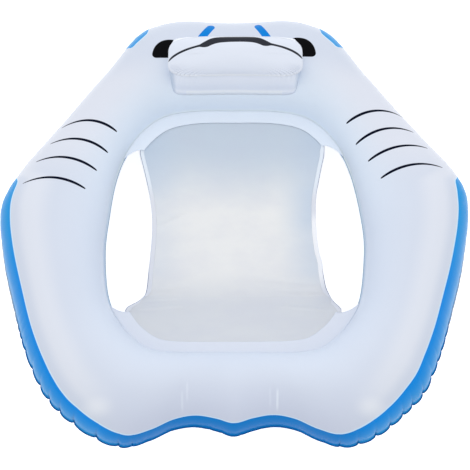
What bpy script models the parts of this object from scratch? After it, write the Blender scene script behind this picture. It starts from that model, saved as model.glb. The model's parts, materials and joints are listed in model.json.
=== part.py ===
"""Pool lounger: a blow-up ring with a head pillow, a slung seat and two air valves.

Metres. +Z is up and +Y points to the head end. The origin is on the ground, under the
middle of the whole. Ring, pillow and seat are vinyl film, drawn blown up, each panel a shell of its own.
"""

import math

import bmesh
import bpy
from mathutils import Matrix, Vector

MM = 0.001

# Film, welds and the air between two faces that touch
FILM = 0.4 * MM
TOUCH_GAP = 0.3 * MM
WELD_LIP = 5 * MM

# Ring seams, seen from above: half outlines from the middle of the tail to the middle of the head
HALF_WIDTH = 0.649
HEAD_LENGTH = 0.608
TAIL_LENGTH = 0.593
NOTCH = (0.103, -0.568)
CORNER = (0.285, -0.623)
SHOULDER = (0.439, 0.362)
CHEEK = (0.150, 0.615)
OUTER_SEAM = (
    (0.0, -TAIL_LENGTH),
    (0.050, -0.578),
    NOTCH,
    (0.160, -0.577),
    (0.220, -0.605),
    CORNER,
    (0.355, -0.6045),
    (0.427, -0.5555),
    (0.501, -0.475),
    (0.557, -0.364),
    (0.598, -0.231),
    (0.632, -0.100),
    (HALF_WIDTH, 0.035),
    (0.611, 0.137),
    (0.528, 0.248),
    SHOULDER,
    (0.356, 0.475),
    (0.285, 0.566),
    (0.220, 0.6015),
    CHEEK,
    (0.070, 0.6105),
    (0.0, HEAD_LENGTH),
)
HOLE_HALF_WIDTH = 0.3605
HOLE_HEAD = 0.342
HOLE_TAIL = 0.374
INNER_SEAM = (
    (0.0, -HOLE_TAIL),
    (0.085, -HOLE_TAIL),
    (0.160, -0.374),
    (0.222, -0.366),
    (0.268, -0.336),
    (0.309, -0.290),
    (0.3455, -0.218),
    (HOLE_HALF_WIDTH, -0.085),
    (0.3533, 0.020),
    (0.3348, 0.130),
    (0.304, 0.215),
    (0.258, 0.281),
    (0.200, 0.323),
    (0.115, 0.3405),
    (0.0, HOLE_HEAD),
)

# Ring tube: half its height, by the direction in degrees from the hole's middle
SIDE_HALF_HEIGHT = 0.150
HEAD_HALF_HEIGHT = 0.1475
SHOULDER_HALF_HEIGHT = 0.124
TAIL_HALF_HEIGHT = 0.115
NOTCH_HALF_HEIGHT = 0.106
HALF_HEIGHTS = (
    (-90, TAIL_HALF_HEIGHT),
    (-79.5, NOTCH_HALF_HEIGHT),
    (-58, SIDE_HALF_HEIGHT),
    (-5, SIDE_HALF_HEIGHT),
    (38, SHOULDER_HALF_HEIGHT),
    (74, HEAD_HALF_HEIGHT),
    (90, HEAD_HALF_HEIGHT),
)
# The tube's underside goes flat on the ground by this much under its own weight
SETTLE = 0.0012
SEAM_HEIGHT = HEAD_HALF_HEIGHT - SETTLE
# Directions of the sections that the skins are lofted through, closer at the scalloped tail
TAIL_STEPS = (-90, -60, 10)
FLANK_STEPS = (-60, -36, 5)
REST_STEPS = (-36, 90, 24)
TOP_ARC_STEPS = 10
FOOT_HALF_ANGLE = 6

# Head pillow, welded on the ring's top: its top seam and its foot, seen from above
PILLOW_HALF_WIDTH = 0.187
PILLOW_FRONT = 0.3765
PILLOW_BACK = 0.476
# Its top seam stands this far over the crest of the ring, in front and at the back
PILLOW_FRONT_RISE = 0.0112
PILLOW_BACK_RISE = 0.0482
PILLOW_TOP_FRONT = SEAM_HEIGHT + HEAD_HALF_HEIGHT + PILLOW_FRONT_RISE
PILLOW_TOP_BACK = SEAM_HEIGHT + HEAD_HALF_HEIGHT + PILLOW_BACK_RISE
PILLOW_CROWN = 0.022
CROWN_FLATNESS = 2.2
CROWN_FULLNESS = 0.75
# Squareness of an outline in front and at the back; the front seam is drawn in over its middle
PILLOW_SQUARENESS = (8, 3.2)
PILLOW_PULL = 5.5 * MM
PULL_HALF_WIDTH = 0.150
FOOT_HALF_WIDTH = 0.175
FOOT_FRONT = 0.3605
FOOT_SWEEP = 0.012
FOOT_BACK = 0.514
FOOT_SQUARENESS = (14, 14)
FOOT_DEPTH = 0.12
PILLOW_LIP = 4 * MM
PILLOW_STEPS = 48
# The pillow stands on the sections of the ring past this direction
ENVELOPE_START = 36
CROWN_RINGS = 5

# Seat: a film sheet slung between two weld bands on the inner seam, with a hem down each free edge
BAND_WIDTH = 0.036
# How much wider the bands are round the corners of the hole
REAR_BAND_GAIN = 3 * MM
FRONT_BAND_GAIN = 7 * MM
BAND_FILM = 0.6 * MM
BAND_TUCK = 9 * MM
BAND_CLEAR = 2 * MM
BAND_STANDOFF = 2.5 * MM
# Direction of a band's end at the ring's seam and at its inner corner, and how round the cut between them is
REAR_BAND_END = (32.4, 39.5)
FRONT_BAND_END = (-35.2, -39.5)
BAND_END_BOW = 1.8
SEAT_CORNER_TURN = 0.5
REAR_BAND_FALL = 0.20
FRONT_BAND_FALL = 0.40
SEAT_LINE = -0.180
SEAT_HEIGHT = 0.030
SEAT_EDGE_LIFT = 0.016
SEAT_HALF_WIDTH = 0.262
SEAT_WAIST = 0.2315
WAIST_LINE = -0.010
HEM_WIDTH = 0.013
HEM_GAP = 0.5 * MM
# How far each run of the seat hangs below a straight line, as a share of its fall
BACK_SAG = 0.4
RISE_SAG = 0.3
SEAT_COLUMNS = 14
BACK_ROWS = 12
RISE_ROWS = 6

# Air valve: a welded flange with a cup, a stem that pushes in flush, a strapped plug and an inner flap
VALVE_STEPS = 20
FLANGE_RADIUS = 15.5 * MM
FLANGE_THICK = 1.2 * MM
FLANGE_CHAMFER = 0.6 * MM
CUP_RADIUS = 10.2 * MM
CUP_WALL = 0.9 * MM
CUP_DEPTH = 13 * MM
CUP_FLOOR = 1.0 * MM
STEM_RADIUS = 6.6 * MM
STEM_BORE = 4.2 * MM
STEM_TOP = 0.4 * MM
STEM_TRAVEL = 10.6 * MM
STEM_FOOT_THICK = 1.0 * MM
STEM_LENGTH = STEM_TOP + CUP_DEPTH + CUP_FLOOR + STEM_TRAVEL + STEM_FOOT_THICK
COLLAR_RADIUS = 9.3 * MM
COLLAR_THICK = 1.2 * MM
FOOT_RADIUS = 7.6 * MM
SLIDE_CLEARANCE = 0.4 * MM
CAP_RADIUS = 5.6 * MM
CAP_THICK = 1.2 * MM
CAP_CHAMFER = 0.4 * MM
STOPPER_RADIUS = 3.85 * MM
STOPPER_TIP = 3.0 * MM
STOPPER_DEPTH = 3.8 * MM
STRAP_WIDTH = 3.6 * MM
STRAP_THICK = 0.8 * MM
STRAP_ROOT = 1 * MM
HINGE_OFFSET = 7.8 * MM
FLAP_RADIUS = 5.4 * MM
FLAP_THICK = 0.8 * MM
HOLE_CLEARANCE = 0.4 * MM
VALVE_MARGIN = 10 * MM
# The ring's valve sits behind the head, on this facet of the underside counted from the outer seam
RING_VALVE_FACET = 1

MIRROR_MERGE = 0.01 * MM
# Points that a cut leaves closer together than this become one
CUT_MERGE = 0.06 * MM
MODEL = "pool_lounger"
CUTTERS = "cutters"


def start_clean():
    """An empty file with one collection for the pieces and one for the cutters."""
    for item in list(bpy.data.objects):
        bpy.data.objects.remove(item)
    for name in (MODEL, CUTTERS):
        folder = bpy.data.collections.new(name)
        bpy.context.scene.collection.children.link(folder)


def finish_of(name, colour, roughness):
    """One plastic for each colour of film and moulding."""
    material = bpy.data.materials.new(name)
    material.use_nodes = True
    shader = material.node_tree.nodes["Principled BSDF"]
    shader.inputs["Base Color"].default_value = (*colour, 1.0)
    shader.inputs["Roughness"].default_value = roughness
    shader.inputs["Metallic"].default_value = 0.0
    return material


def add_piece(name, mesh, material, place=None):
    """A named object in the model, smooth where its faces nearly meet in one plane."""
    mesh.shade_smooth()
    mesh.set_sharp_from_angle(angle=math.radians(50))
    mesh.materials.append(material)
    piece = bpy.data.objects.new(name, mesh)
    piece.matrix_world = place or Matrix.Identity(4)
    bpy.data.collections[MODEL].objects.link(piece)
    return piece


def add_cutter(name, mesh, place=None):
    """A closed body that only cuts, and isn't part of the lounger."""
    cutter = bpy.data.objects.new(name, mesh)
    cutter.matrix_world = place or Matrix.Identity(4)
    cutter.display_type = "WIRE"
    cutter.hide_render = True
    bpy.data.collections[CUTTERS].objects.link(cutter)
    return cutter


def thicken(piece, thickness):
    """Gives an open surface its wall, on the side away from its normals."""
    wall = piece.modifiers.new("wall", "SOLIDIFY")
    wall.thickness = thickness
    wall.offset = -1
    wall.use_even_offset = True


def mirror(piece):
    """Completes a half that is open at the middle plane."""
    halves = piece.modifiers.new("other_half", "MIRROR")
    halves.merge_threshold = MIRROR_MERGE


def combine(piece, other, operation):
    """Cuts other from the piece, or joins it on."""
    step = piece.modifiers.new(operation.lower(), "BOOLEAN")
    step.operation = operation
    step.object = other
    merge = piece.modifiers.new("merge", "WELD")
    merge.merge_threshold = CUT_MERGE


def loft(name, rows, closed_rows=False, caps=False):
    """A surface through rows of points, each row as long as the next."""
    shape = bmesh.new()
    grid = [[shape.verts.new(point) for point in row] for row in rows]
    for row, following in zip(grid, grid[1:]):
        ends = range(len(row)) if closed_rows else range(len(row) - 1)
        for i in ends:
            j = (i + 1) % len(row)
            shape.faces.new((row[i], row[j], following[j], following[i]))
    if caps:
        shape.faces.new(reversed(grid[0]))
        shape.faces.new(grid[-1])
    mesh = bpy.data.meshes.new(name)
    shape.to_mesh(mesh)
    shape.free()
    return mesh


def spread(first, last, steps):
    """Evenly spaced values from first to last, both included."""
    return [first + (last - first) * i / steps for i in range(steps + 1)]


def smooth_line(points, steps=10):
    """A smooth curve through half an outline, crossing the middle plane square at both ends."""
    ahead, behind = points[1], points[-2]
    knots = [Vector((-ahead[0], ahead[1]))]
    knots += [Vector(point) for point in points]
    knots.append(Vector((-behind[0], behind[1])))
    line = []
    for a, b, c, d in zip(knots, knots[1:], knots[2:], knots[3:]):
        for i in range(steps):
            t = i / steps
            bend = (2 * a - 5 * b + 4 * c - d) * t * t + (3 * b - a - 3 * c + d) * t**3
            line.append((2 * b + (c - a) * t + bend) / 2)
    line.append(knots[-2])
    return line


OUTER_LINE = smooth_line(OUTER_SEAM)
INNER_LINE = smooth_line(INNER_SEAM)


def seam_point(line, degrees):
    """Where a seam crosses the line that leaves the origin in the direction of degrees."""
    side = 1
    if degrees > 90 or degrees < -90:
        side = -1
        degrees = (180 if degrees > 0 else -180) - degrees
    way = Vector((math.cos(math.radians(degrees)), math.sin(math.radians(degrees))))
    for p, q in zip(line, line[1:]):
        before = way.x * p.y - way.y * p.x
        after = way.x * q.y - way.y * q.x
        if before <= 0 <= after:
            found = p.lerp(q, before / (before - after))
            return Vector((side * found.x, found.y))
    return Vector((side * line[-1].x, line[-1].y))


def half_height(degrees):
    """Half the tube's height in that direction, eased from one stated section to the next."""
    if abs(degrees) > 90:
        degrees = (180 if degrees > 0 else -180) - degrees
    for (low, first), (high, last) in zip(HALF_HEIGHTS, HALF_HEIGHTS[1:]):
        if degrees <= high:
            t = (degrees - low) / (high - low)
            return first + (last - first) * t * t * (3 - 2 * t)
    return HEAD_HALF_HEIGHT


def section(degrees, arc, side, grow=0.0):
    """Points of one skin's outer face from outer seam to inner seam: side is 1 above, -1 below."""
    outer, inner = seam_point(OUTER_LINE, degrees), seam_point(INNER_LINE, degrees)
    middle, reach = (outer + inner) / 2, (outer - inner) / 2
    way = reach.normalized()
    level = SEAM_HEIGHT + side * (TOUCH_GAP / 2 + FILM)
    points = []
    for turn in arc:
        flat = middle + way * (reach.length + grow) * math.cos(math.radians(turn))
        height = level + side * (half_height(degrees) + grow) * math.sin(math.radians(turn))
        points.append(Vector((flat.x, flat.y, max(height, 0.0))))
    return points, Vector((way.x, way.y, 0.0))


def ring_directions():
    """The half ring's section directions, from the tail's middle to the head's."""
    found = [TAIL_STEPS[0]]
    for first, last, steps in (TAIL_STEPS, FLANK_STEPS, REST_STEPS):
        found += spread(first, last, steps)[1:]
    return found


def top_arc():
    return spread(0, 180, TOP_ARC_STEPS)


def bottom_arc():
    """As the top's, with a narrow level strip at the lowest place that the ring stands on."""
    quarter = [turn for turn in top_arc() if turn < 90]
    rising = quarter + [90 - FOOT_HALF_ANGLE]
    return rising + [180 - turn for turn in reversed(rising)]


def ring_skin(name, arc, side, material):
    """One of the two sheets of the ring, with the weld lip along its outer and inner edge."""
    rows = []
    for degrees in ring_directions():
        points, way = section(degrees, arc, side)
        rows.append([points[0] + way * WELD_LIP, *points, points[-1] - way * WELD_LIP])
    if side > 0:
        rows.reverse()
    skin = add_piece(name, loft(name, rows), material)
    mirror(skin)
    thicken(skin, FILM)
    return skin


def pillow_ring(half_width, front, back, squareness, scale=1.0, sweep=0.0, pull=0.0):
    """A rounded oblong seen from above, as anticlockwise (x, y) pairs.

    At the front, sweep draws its corners on and pull draws its middle in.
    """
    middle, half_depth = (front + back) / 2, (back - front) / 2
    points = []
    for i in range(PILLOW_STEPS):
        turn = math.tau * (i + 0.5) / PILLOW_STEPS
        across, along = math.cos(turn), math.sin(turn)
        power = squareness[0] if along < 0 else squareness[1]
        reach = (abs(across) ** power + abs(along) ** power) ** (-1 / power)
        x = half_width * scale * reach * across
        y = middle + half_depth * scale * reach * along
        if along < 0:
            y -= sweep * (x / half_width) ** 4
            y += pull * scale**4 * max(0.0, 1 - (x / PULL_HALF_WIDTH) ** 2)
        points.append((x, y))
    return points


def pillow_top_height(y):
    """The pillow's top seam lies in one plane that rises a little to the back."""
    share = (y - PILLOW_FRONT) / (PILLOW_BACK - PILLOW_FRONT)
    return PILLOW_TOP_FRONT + (PILLOW_TOP_BACK - PILLOW_TOP_FRONT) * share


def pillow_seam(grow, scale=1.0):
    """The top seam's outline, made larger by a lip or drawn small towards its middle."""
    front, back = PILLOW_FRONT - grow, PILLOW_BACK + grow
    half_width = PILLOW_HALF_WIDTH + grow
    return pillow_ring(half_width, front, back, PILLOW_SQUARENESS, scale, pull=PILLOW_PULL)


def head_envelope():
    """The ring's top at the head, a touch larger, to cut the pillow's foot to."""
    rows = []
    for degrees in [d for d in ring_directions() if d > ENVELOPE_START]:
        points, _ = section(degrees, top_arc(), 1, TOUCH_GAP)
        rows.append(points)
    rows += [[Vector((-p.x, p.y, p.z)) for p in row] for row in reversed(rows[:-1])]
    rows.reverse()
    mesh = loft("head_envelope", rows, closed_rows=True, caps=True)
    return add_cutter("head_envelope", mesh)


def pillow_wall(material):
    """The gusset between the ring's top and the pillow's top panel, with a lip at its top."""
    foot = pillow_ring(FOOT_HALF_WIDTH, FOOT_FRONT, FOOT_BACK, FOOT_SQUARENESS, sweep=FOOT_SWEEP)
    seam = pillow_seam(0.0)
    under = []
    for low, high in zip(foot, seam):
        under.append(Vector((*low, pillow_top_height(high[1]) - FOOT_DEPTH)))
    top = [Vector((x, y, pillow_top_height(y))) for x, y in seam]
    lip = [Vector((x, y, pillow_top_height(y))) for x, y in pillow_seam(PILLOW_LIP)]
    mesh = loft("pillow_side_wall", [under, top, lip], closed_rows=True)
    wall = add_piece("pillow_side_wall", mesh, material)
    # Flat facets, so that both faces of the film bend along the same lines
    wall.modifiers.new("facets", "TRIANGULATE")
    thicken(wall, FILM)
    combine(wall, head_envelope(), "DIFFERENCE")
    return wall


def pillow_top(material):
    """The crowned panel that closes the pillow, lying on the wall's lip."""
    lift = TOUCH_GAP + 2 * FILM
    rows = []
    for x, y in pillow_seam(PILLOW_LIP):
        rows.append([Vector((x, y, pillow_top_height(y) + lift))])
    rings = [1 - i / CROWN_RINGS for i in range(CROWN_RINGS)]
    for scale in rings:
        ring = pillow_seam(0.0, scale)
        rise = PILLOW_CROWN * (1 - scale**CROWN_FLATNESS) ** CROWN_FULLNESS
        for row, (x, y) in zip(rows, ring):
            row.append(Vector((x, y, pillow_top_height(y) + lift + rise)))
    columns = [list(column) for column in zip(*rows)]
    mesh = loft("pillow_top_panel", columns, closed_rows=True)
    shape = bmesh.new()
    shape.from_mesh(mesh)
    shape.verts.ensure_lookup_table()
    last_ring = shape.verts[-PILLOW_STEPS:]
    middle = (PILLOW_FRONT + PILLOW_BACK) / 2
    peak = shape.verts.new((0, middle, pillow_top_height(middle) + lift + PILLOW_CROWN))
    for i in range(PILLOW_STEPS):
        shape.faces.new((last_ring[i], last_ring[(i + 1) % PILLOW_STEPS], peak))
    shape.to_mesh(mesh)
    shape.free()
    panel = add_piece("pillow_top_panel", mesh, material)
    thicken(panel, FILM)
    return panel


def inset_point(degrees, amount):
    """A point inside the hole, that far square off the ring's inner seam."""
    here = seam_point(INNER_LINE, degrees)
    ahead, behind = seam_point(INNER_LINE, degrees + 0.5), seam_point(INNER_LINE, degrees - 0.5)
    tangent = ahead - behind
    inward = Vector((-tangent.y, tangent.x)).normalized()
    return here + inward * amount


def band_height(amount, fall):
    """Top of a weld band: level on the ring's lip, then falling towards the seat."""
    top_of_lip = SEAM_HEIGHT + TOUCH_GAP / 2 + FILM
    return top_of_lip + TOUCH_GAP + BAND_FILM - fall * max(0.0, amount - WELD_LIP - MM)


def seat_columns():
    """Lengthwise lines across the seat, from -1 to 1, the outermost two a hem's width apart."""
    inner = 1 - HEM_WIDTH / SEAT_WAIST
    return [-1, *spread(-inner, inner, SEAT_COLUMNS), 1]


def column_turn(u, middle, ends):
    """The direction in which line u of the seat meets a band."""
    half = abs(middle - ends[1]) - SEAT_CORNER_TURN
    return middle - math.copysign(half, middle) * u


def band_width(degrees):
    """A band is widest round the corners of the hole."""
    gain = REAR_BAND_GAIN if degrees > 0 else FRONT_BAND_GAIN
    return BAND_WIDTH + gain * abs(math.sin(math.radians(2 * degrees)))


def band_end(middle, ends, share, turn):
    """The direction of the band's end on the side of turn, at a share of the band's width."""
    at_seam, at_corner = ends
    right = at_seam + (at_corner - at_seam) * (1 - (1 - share) ** BAND_END_BOW)
    return min((right, 2 * middle - right), key=lambda degrees: abs(degrees - turn))


def rim_band(name, middle, ends, fall, material):
    """A doubled strip of film welded along the ring's inner lip, which the seat hangs from."""
    turns = sorted((column_turn(u, middle, ends) for u in seat_columns()), reverse=True)
    first, last = turns[0], turns[-1]
    rows = []
    # Each row as a direction, and how far it leans over to the band's curved end
    for turn, lean in ((first, 1), (first, 0.5), *((turn, 0) for turn in turns), (last, 0.5), (last, 1)):
        width = band_width(turn)
        row = []
        for amount in (BAND_STANDOFF, WELD_LIP + MM, width / 2, width):
            tip = band_end(middle, ends, amount / width, turn)
            flat = inset_point(turn + (tip - turn) * lean, amount)
            row.append(Vector((flat.x, flat.y, band_height(amount, fall))))
        rows.append(row)
    band = add_piece(name, loft(name, rows), material)
    thicken(band, BAND_FILM)
    return band


def seat_end(u, middle, ends, fall, past):
    """Where the seat's lengthwise line u passes that far beyond the band's inner edge."""
    turn = column_turn(u, middle, ends)
    amount = band_width(turn) + past
    flat = inset_point(turn, amount)
    return Vector((flat.x, flat.y, band_height(amount, fall) - BAND_FILM - TOUCH_GAP))


def seat_line(u):
    """Points of the seat's top face from the rear band to the front band, along line u."""
    rear = [seat_end(u, 90, REAR_BAND_END, REAR_BAND_FALL, past) for past in (-BAND_TUCK, BAND_CLEAR)]
    front = [seat_end(u, -90, FRONT_BAND_END, FRONT_BAND_FALL, past) for past in (BAND_CLEAR, -BAND_TUCK)]
    low = Vector((u * SEAT_HALF_WIDTH, SEAT_LINE, SEAT_HEIGHT + SEAT_EDGE_LIFT * u * u))
    points = [rear[0]]
    start = rear[1]
    waist = (start.y - WAIST_LINE) / (start.y - low.y)
    pull = u * SEAT_WAIST - (start.x + (low.x - start.x) * waist)
    for i in range(BACK_ROWS):
        t = i / BACK_ROWS
        draw_in = t * (1 - t) / (waist * (1 - waist))
        x = start.x + (low.x - start.x) * t + pull * draw_in
        y = start.y + (low.y - start.y) * t
        z = start.z + (low.z - start.z) * t * (1 + BACK_SAG * (1 - t))
        points.append(Vector((x, y, z)))
    points.append(low)
    for i in range(1, RISE_ROWS + 1):
        t = i / RISE_ROWS
        ease = t * (1 - RISE_SAG * (1 - t))
        points.append(Vector((*low.lerp(front[0], t).xy, low.z + (front[0].z - low.z) * ease)))
    points.append(front[1])
    return points


def seat(film, edging):
    """The slung sheet, and a hem strip on each of its free edges."""
    columns = seat_columns()
    sheet = add_piece("seat_sling", loft("seat_sling", [seat_line(u) for u in columns]), film)
    thicken(sheet, FILM)
    lift = Vector((0, 0, HEM_GAP + FILM))
    for name, pair in (("sling_hem_left", columns[:2]), ("sling_hem_right", columns[-2:])):
        lines = [[point + lift for point in seat_line(u)[2:-2]] for u in pair]
        hem = add_piece(name, loft(name, lines), edging)
        thicken(hem, FILM)


def turned(name, profile, steps=VALVE_STEPS):
    """A round moulding about its own Z, from (radius, height) points down its outer side."""
    shape = bmesh.new()
    corners = [shape.verts.new((radius, 0, height)) for radius, height in profile]
    on_axis = profile[0][0] == 0 and profile[-1][0] == 0
    pairs = list(zip(corners, corners[1:])) + ([] if on_axis else [(corners[-1], corners[0])])
    for pair in pairs:
        shape.edges.new(pair)
    centre, up = (0, 0, 0), (0, 0, 1)
    outline = list(shape.verts) + list(shape.edges)
    bmesh.ops.spin(
        shape, geom=outline, cent=centre, axis=up, angle=math.tau, steps=steps, use_merge=True
    )
    bmesh.ops.remove_doubles(shape, verts=shape.verts, dist=0.001 * MM)
    bmesh.ops.recalc_face_normals(shape, faces=shape.faces)
    mesh = bpy.data.meshes.new(name)
    shape.to_mesh(mesh)
    shape.free()
    return mesh


def box_mesh(name, low, high):
    """A block between two corners."""
    shape = bmesh.new()
    bmesh.ops.create_cube(shape, size=1.0)
    size, centre = Vector(high) - Vector(low), (Vector(high) + Vector(low)) / 2
    bmesh.ops.scale(shape, vec=size, verts=shape.verts)
    bmesh.ops.translate(shape, vec=centre, verts=shape.verts)
    mesh = bpy.data.meshes.new(name)
    shape.to_mesh(mesh)
    shape.free()
    return mesh


def valve_flange(name, place, material):
    """The disc on the film with its cup let in through the hole."""
    throat = STEM_RADIUS + SLIDE_CLEARANCE
    top = TOUCH_GAP + FLANGE_THICK
    cup_outside = CUP_RADIUS + CUP_WALL
    profile = [
        (CUP_RADIUS, top),
        (FLANGE_RADIUS - FLANGE_CHAMFER, top),
        (FLANGE_RADIUS, TOUCH_GAP),
        (cup_outside, TOUCH_GAP),
        (cup_outside, -CUP_DEPTH - CUP_FLOOR),
        (throat, -CUP_DEPTH - CUP_FLOOR),
        (throat, -CUP_DEPTH),
        (CUP_RADIUS, -CUP_DEPTH),
    ]
    return add_piece(name, turned(name, profile), material, place)


def valve_stem(name, place, material):
    """The blow tube: a collar outside, and a foot that stops it when it is pulled out."""
    bottom = STEM_TOP - STEM_LENGTH
    profile = [
        (STEM_BORE, STEM_TOP),
        (COLLAR_RADIUS, STEM_TOP),
        (COLLAR_RADIUS, STEM_TOP - COLLAR_THICK),
        (STEM_RADIUS, STEM_TOP - COLLAR_THICK),
        (STEM_RADIUS, bottom + STEM_FOOT_THICK),
        (FOOT_RADIUS, bottom + STEM_FOOT_THICK),
        (FOOT_RADIUS, bottom),
        (STEM_BORE, bottom),
    ]
    return add_piece(name, turned(name, profile), material, place)


def valve_plug(name, place, material):
    """The stopper and its cap on a strap, which bends at the collar's edge."""
    under = STEM_TOP + TOUCH_GAP
    hinge = Vector((HINGE_OFFSET, 0, under + STRAP_THICK / 2))
    profile = [
        (0, under + CAP_THICK),
        (CAP_RADIUS - CAP_CHAMFER, under + CAP_THICK),
        (CAP_RADIUS, under),
        (STOPPER_RADIUS, under),
        (STOPPER_TIP, under - STOPPER_DEPTH),
        (0, under - STOPPER_DEPTH),
    ]
    mesh = turned(name, profile)
    mesh.transform(Matrix.Translation(-hinge))
    plug = add_piece(name, mesh, material, place @ Matrix.Translation(hinge))
    half = STRAP_THICK / 2
    near = STOPPER_RADIUS + STRAP_ROOT - HINGE_OFFSET
    low, high = (near, -STRAP_WIDTH / 2, -half), (half, STRAP_WIDTH / 2, half)
    strap = add_cutter(name + "_strap", box_mesh(name + "_strap", low, high), plug.matrix_world)
    combine(plug, strap, "UNION")
    return plug


def valve_flap(name, place, material):
    """The round check flap under the blow tube, hung at its edge."""
    top = STEM_TOP - STEM_LENGTH - TOUCH_GAP
    edge = Vector((FLAP_RADIUS, 0, top))
    profile = [(0, top), (FLAP_RADIUS, top), (FLAP_RADIUS, top - FLAP_THICK), (0, top - FLAP_THICK)]
    mesh = turned(name, profile)
    mesh.transform(Matrix.Translation(-edge))
    return add_piece(name, mesh, material, place @ Matrix.Translation(edge))


def valve(prefix, place, panel, material):
    """A whole valve set in a panel, at a place whose Z points out of the film."""
    reach = CUP_RADIUS + CUP_WALL + HOLE_CLEARANCE
    profile = [(0, CUP_DEPTH), (reach, CUP_DEPTH), (reach, -CUP_DEPTH), (0, -CUP_DEPTH)]
    drill = turned(prefix + "_drill", profile)
    combine(panel, add_cutter(prefix + "_drill", drill, place), "DIFFERENCE")
    valve_flange(prefix + "_flange", place, material)
    valve_stem(prefix + "_stem", place, material)
    valve_plug(prefix + "_plug", place, material)
    valve_flap(prefix + "_flap", place, material)


def facing(point, outward, across):
    """A place at point whose Z is outward and whose X is nearest to across."""
    z = outward.normalized()
    x = (across - z * across.dot(z)).normalized()
    return Matrix.Translation(point) @ Matrix((x, z.cross(x), z)).transposed().to_4x4()


def ring_valve_place():
    """On the middle of a facet of the bottom skin, behind the head and under the outer seam."""
    corners = []
    for degrees in ring_directions()[-2:]:
        points, _ = section(degrees, bottom_arc(), -1)
        corners += points[RING_VALVE_FACET : RING_VALVE_FACET + 2]
    centre = sum(corners, Vector()) / 4
    outward = (corners[3] - corners[0]).cross(corners[1] - corners[2])
    if outward.y < 0:
        outward.negate()
    outward.normalize()
    bow = abs((corners[0] - centre).dot(outward))
    return facing(centre + outward * bow, outward, corners[0] - corners[1])


def pillow_valve_place():
    """On the back of the pillow's wall, midway between the ring and the top seam."""
    up = Vector((0, PILLOW_BACK - FOOT_BACK, FOOT_DEPTH)).normalized()
    outward = Vector((1, 0, 0)).cross(up)
    if outward.y < 0:
        outward.negate()
    below_seam = FLANGE_RADIUS + VALVE_MARGIN
    spot = Vector((0, PILLOW_BACK, PILLOW_TOP_BACK)) - up * below_seam
    return facing(spot, outward, Vector((1, 0, 0)))


def build():
    """The whole lounger."""
    start_clean()
    white = finish_of("white_vinyl", (0.78, 0.80, 0.87), 0.32)
    blue = finish_of("blue_vinyl", (0.02, 0.27, 0.80), 0.32)
    seat_film = finish_of("seat_vinyl", (0.68, 0.71, 0.75), 0.42)
    edging = finish_of("edging_vinyl", (0.74, 0.77, 0.82), 0.38)
    clear = finish_of("valve_vinyl", (0.80, 0.82, 0.84), 0.25)
    ring_skin("ring_top_skin", top_arc(), 1, white)
    bottom = ring_skin("ring_bottom_skin", bottom_arc(), -1, blue)
    wall = pillow_wall(white)
    pillow_top(white)
    rim_band("rear_rim_band", 90, REAR_BAND_END, REAR_BAND_FALL, edging)
    rim_band("front_rim_band", -90, FRONT_BAND_END, FRONT_BAND_FALL, edging)
    seat(seat_film, edging)
    valve("ring_valve", ring_valve_place(), bottom, clear)
    valve("pillow_valve", pillow_valve_place(), wall, clear)


build()
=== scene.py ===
import json
import math

import bmesh
import bpy
from mathutils import Matrix, Vector, noise


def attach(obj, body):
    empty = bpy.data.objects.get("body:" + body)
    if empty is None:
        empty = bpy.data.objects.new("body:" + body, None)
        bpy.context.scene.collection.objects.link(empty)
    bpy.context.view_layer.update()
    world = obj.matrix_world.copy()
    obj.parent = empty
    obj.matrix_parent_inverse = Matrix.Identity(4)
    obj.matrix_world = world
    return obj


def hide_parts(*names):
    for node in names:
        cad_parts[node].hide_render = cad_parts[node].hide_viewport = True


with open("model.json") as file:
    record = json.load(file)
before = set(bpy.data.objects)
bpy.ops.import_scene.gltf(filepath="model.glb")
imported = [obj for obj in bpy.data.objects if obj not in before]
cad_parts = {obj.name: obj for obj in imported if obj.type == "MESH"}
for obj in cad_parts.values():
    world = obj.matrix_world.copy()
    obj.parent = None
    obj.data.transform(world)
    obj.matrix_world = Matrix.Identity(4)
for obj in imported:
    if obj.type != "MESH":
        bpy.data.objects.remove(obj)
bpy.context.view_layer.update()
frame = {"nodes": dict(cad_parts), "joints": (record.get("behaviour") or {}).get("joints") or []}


# Room: a plain pale floor that reads white to the camera and keeps the lounger's soft shadow, wide softboxes
# overhead and in front, and the camera at the photograph's angle.
class Value:
    """One socket of a material. Arithmetic on it adds the Math nodes."""

    def __init__(self, finish, socket):
        self.finish = finish
        self.socket = socket

    def _math(self, operation, *terms, clamp=False):
        settings = {"operation": operation, "use_clamp": clamp}
        return self.finish.node("ShaderNodeMath", settings, dict(enumerate(terms)))

    def __add__(self, other):
        return self._math("ADD", self, other)

    def __radd__(self, other):
        return self._math("ADD", other, self)

    def __sub__(self, other):
        return self._math("SUBTRACT", self, other)

    def __rsub__(self, other):
        return self._math("SUBTRACT", other, self)

    def __mul__(self, other):
        return self._math("MULTIPLY", self, other)

    def __rmul__(self, other):
        return self._math("MULTIPLY", other, self)

    def __truediv__(self, other):
        return self._math("DIVIDE", self, other)

    def __pow__(self, other):
        return self._math("POWER", self, other)

    def __abs__(self):
        return self._math("ABSOLUTE", self)

    def clipped(self):
        return self._math("ADD", self, 0.0, clamp=True)

    def at_least(self, other):
        return self._math("MAXIMUM", self, other)

    def root(self):
        return self._math("SQRT", self)

    def step(self, low, high):
        """0 below low, 1 above high, and smooth between."""
        settings = {"interpolation_type": "SMOOTHSTEP"}
        feed = {"Value": self, "From Min": low, "From Max": high}
        return self.finish.node("ShaderNodeMapRange", settings, feed, "Result")


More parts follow.
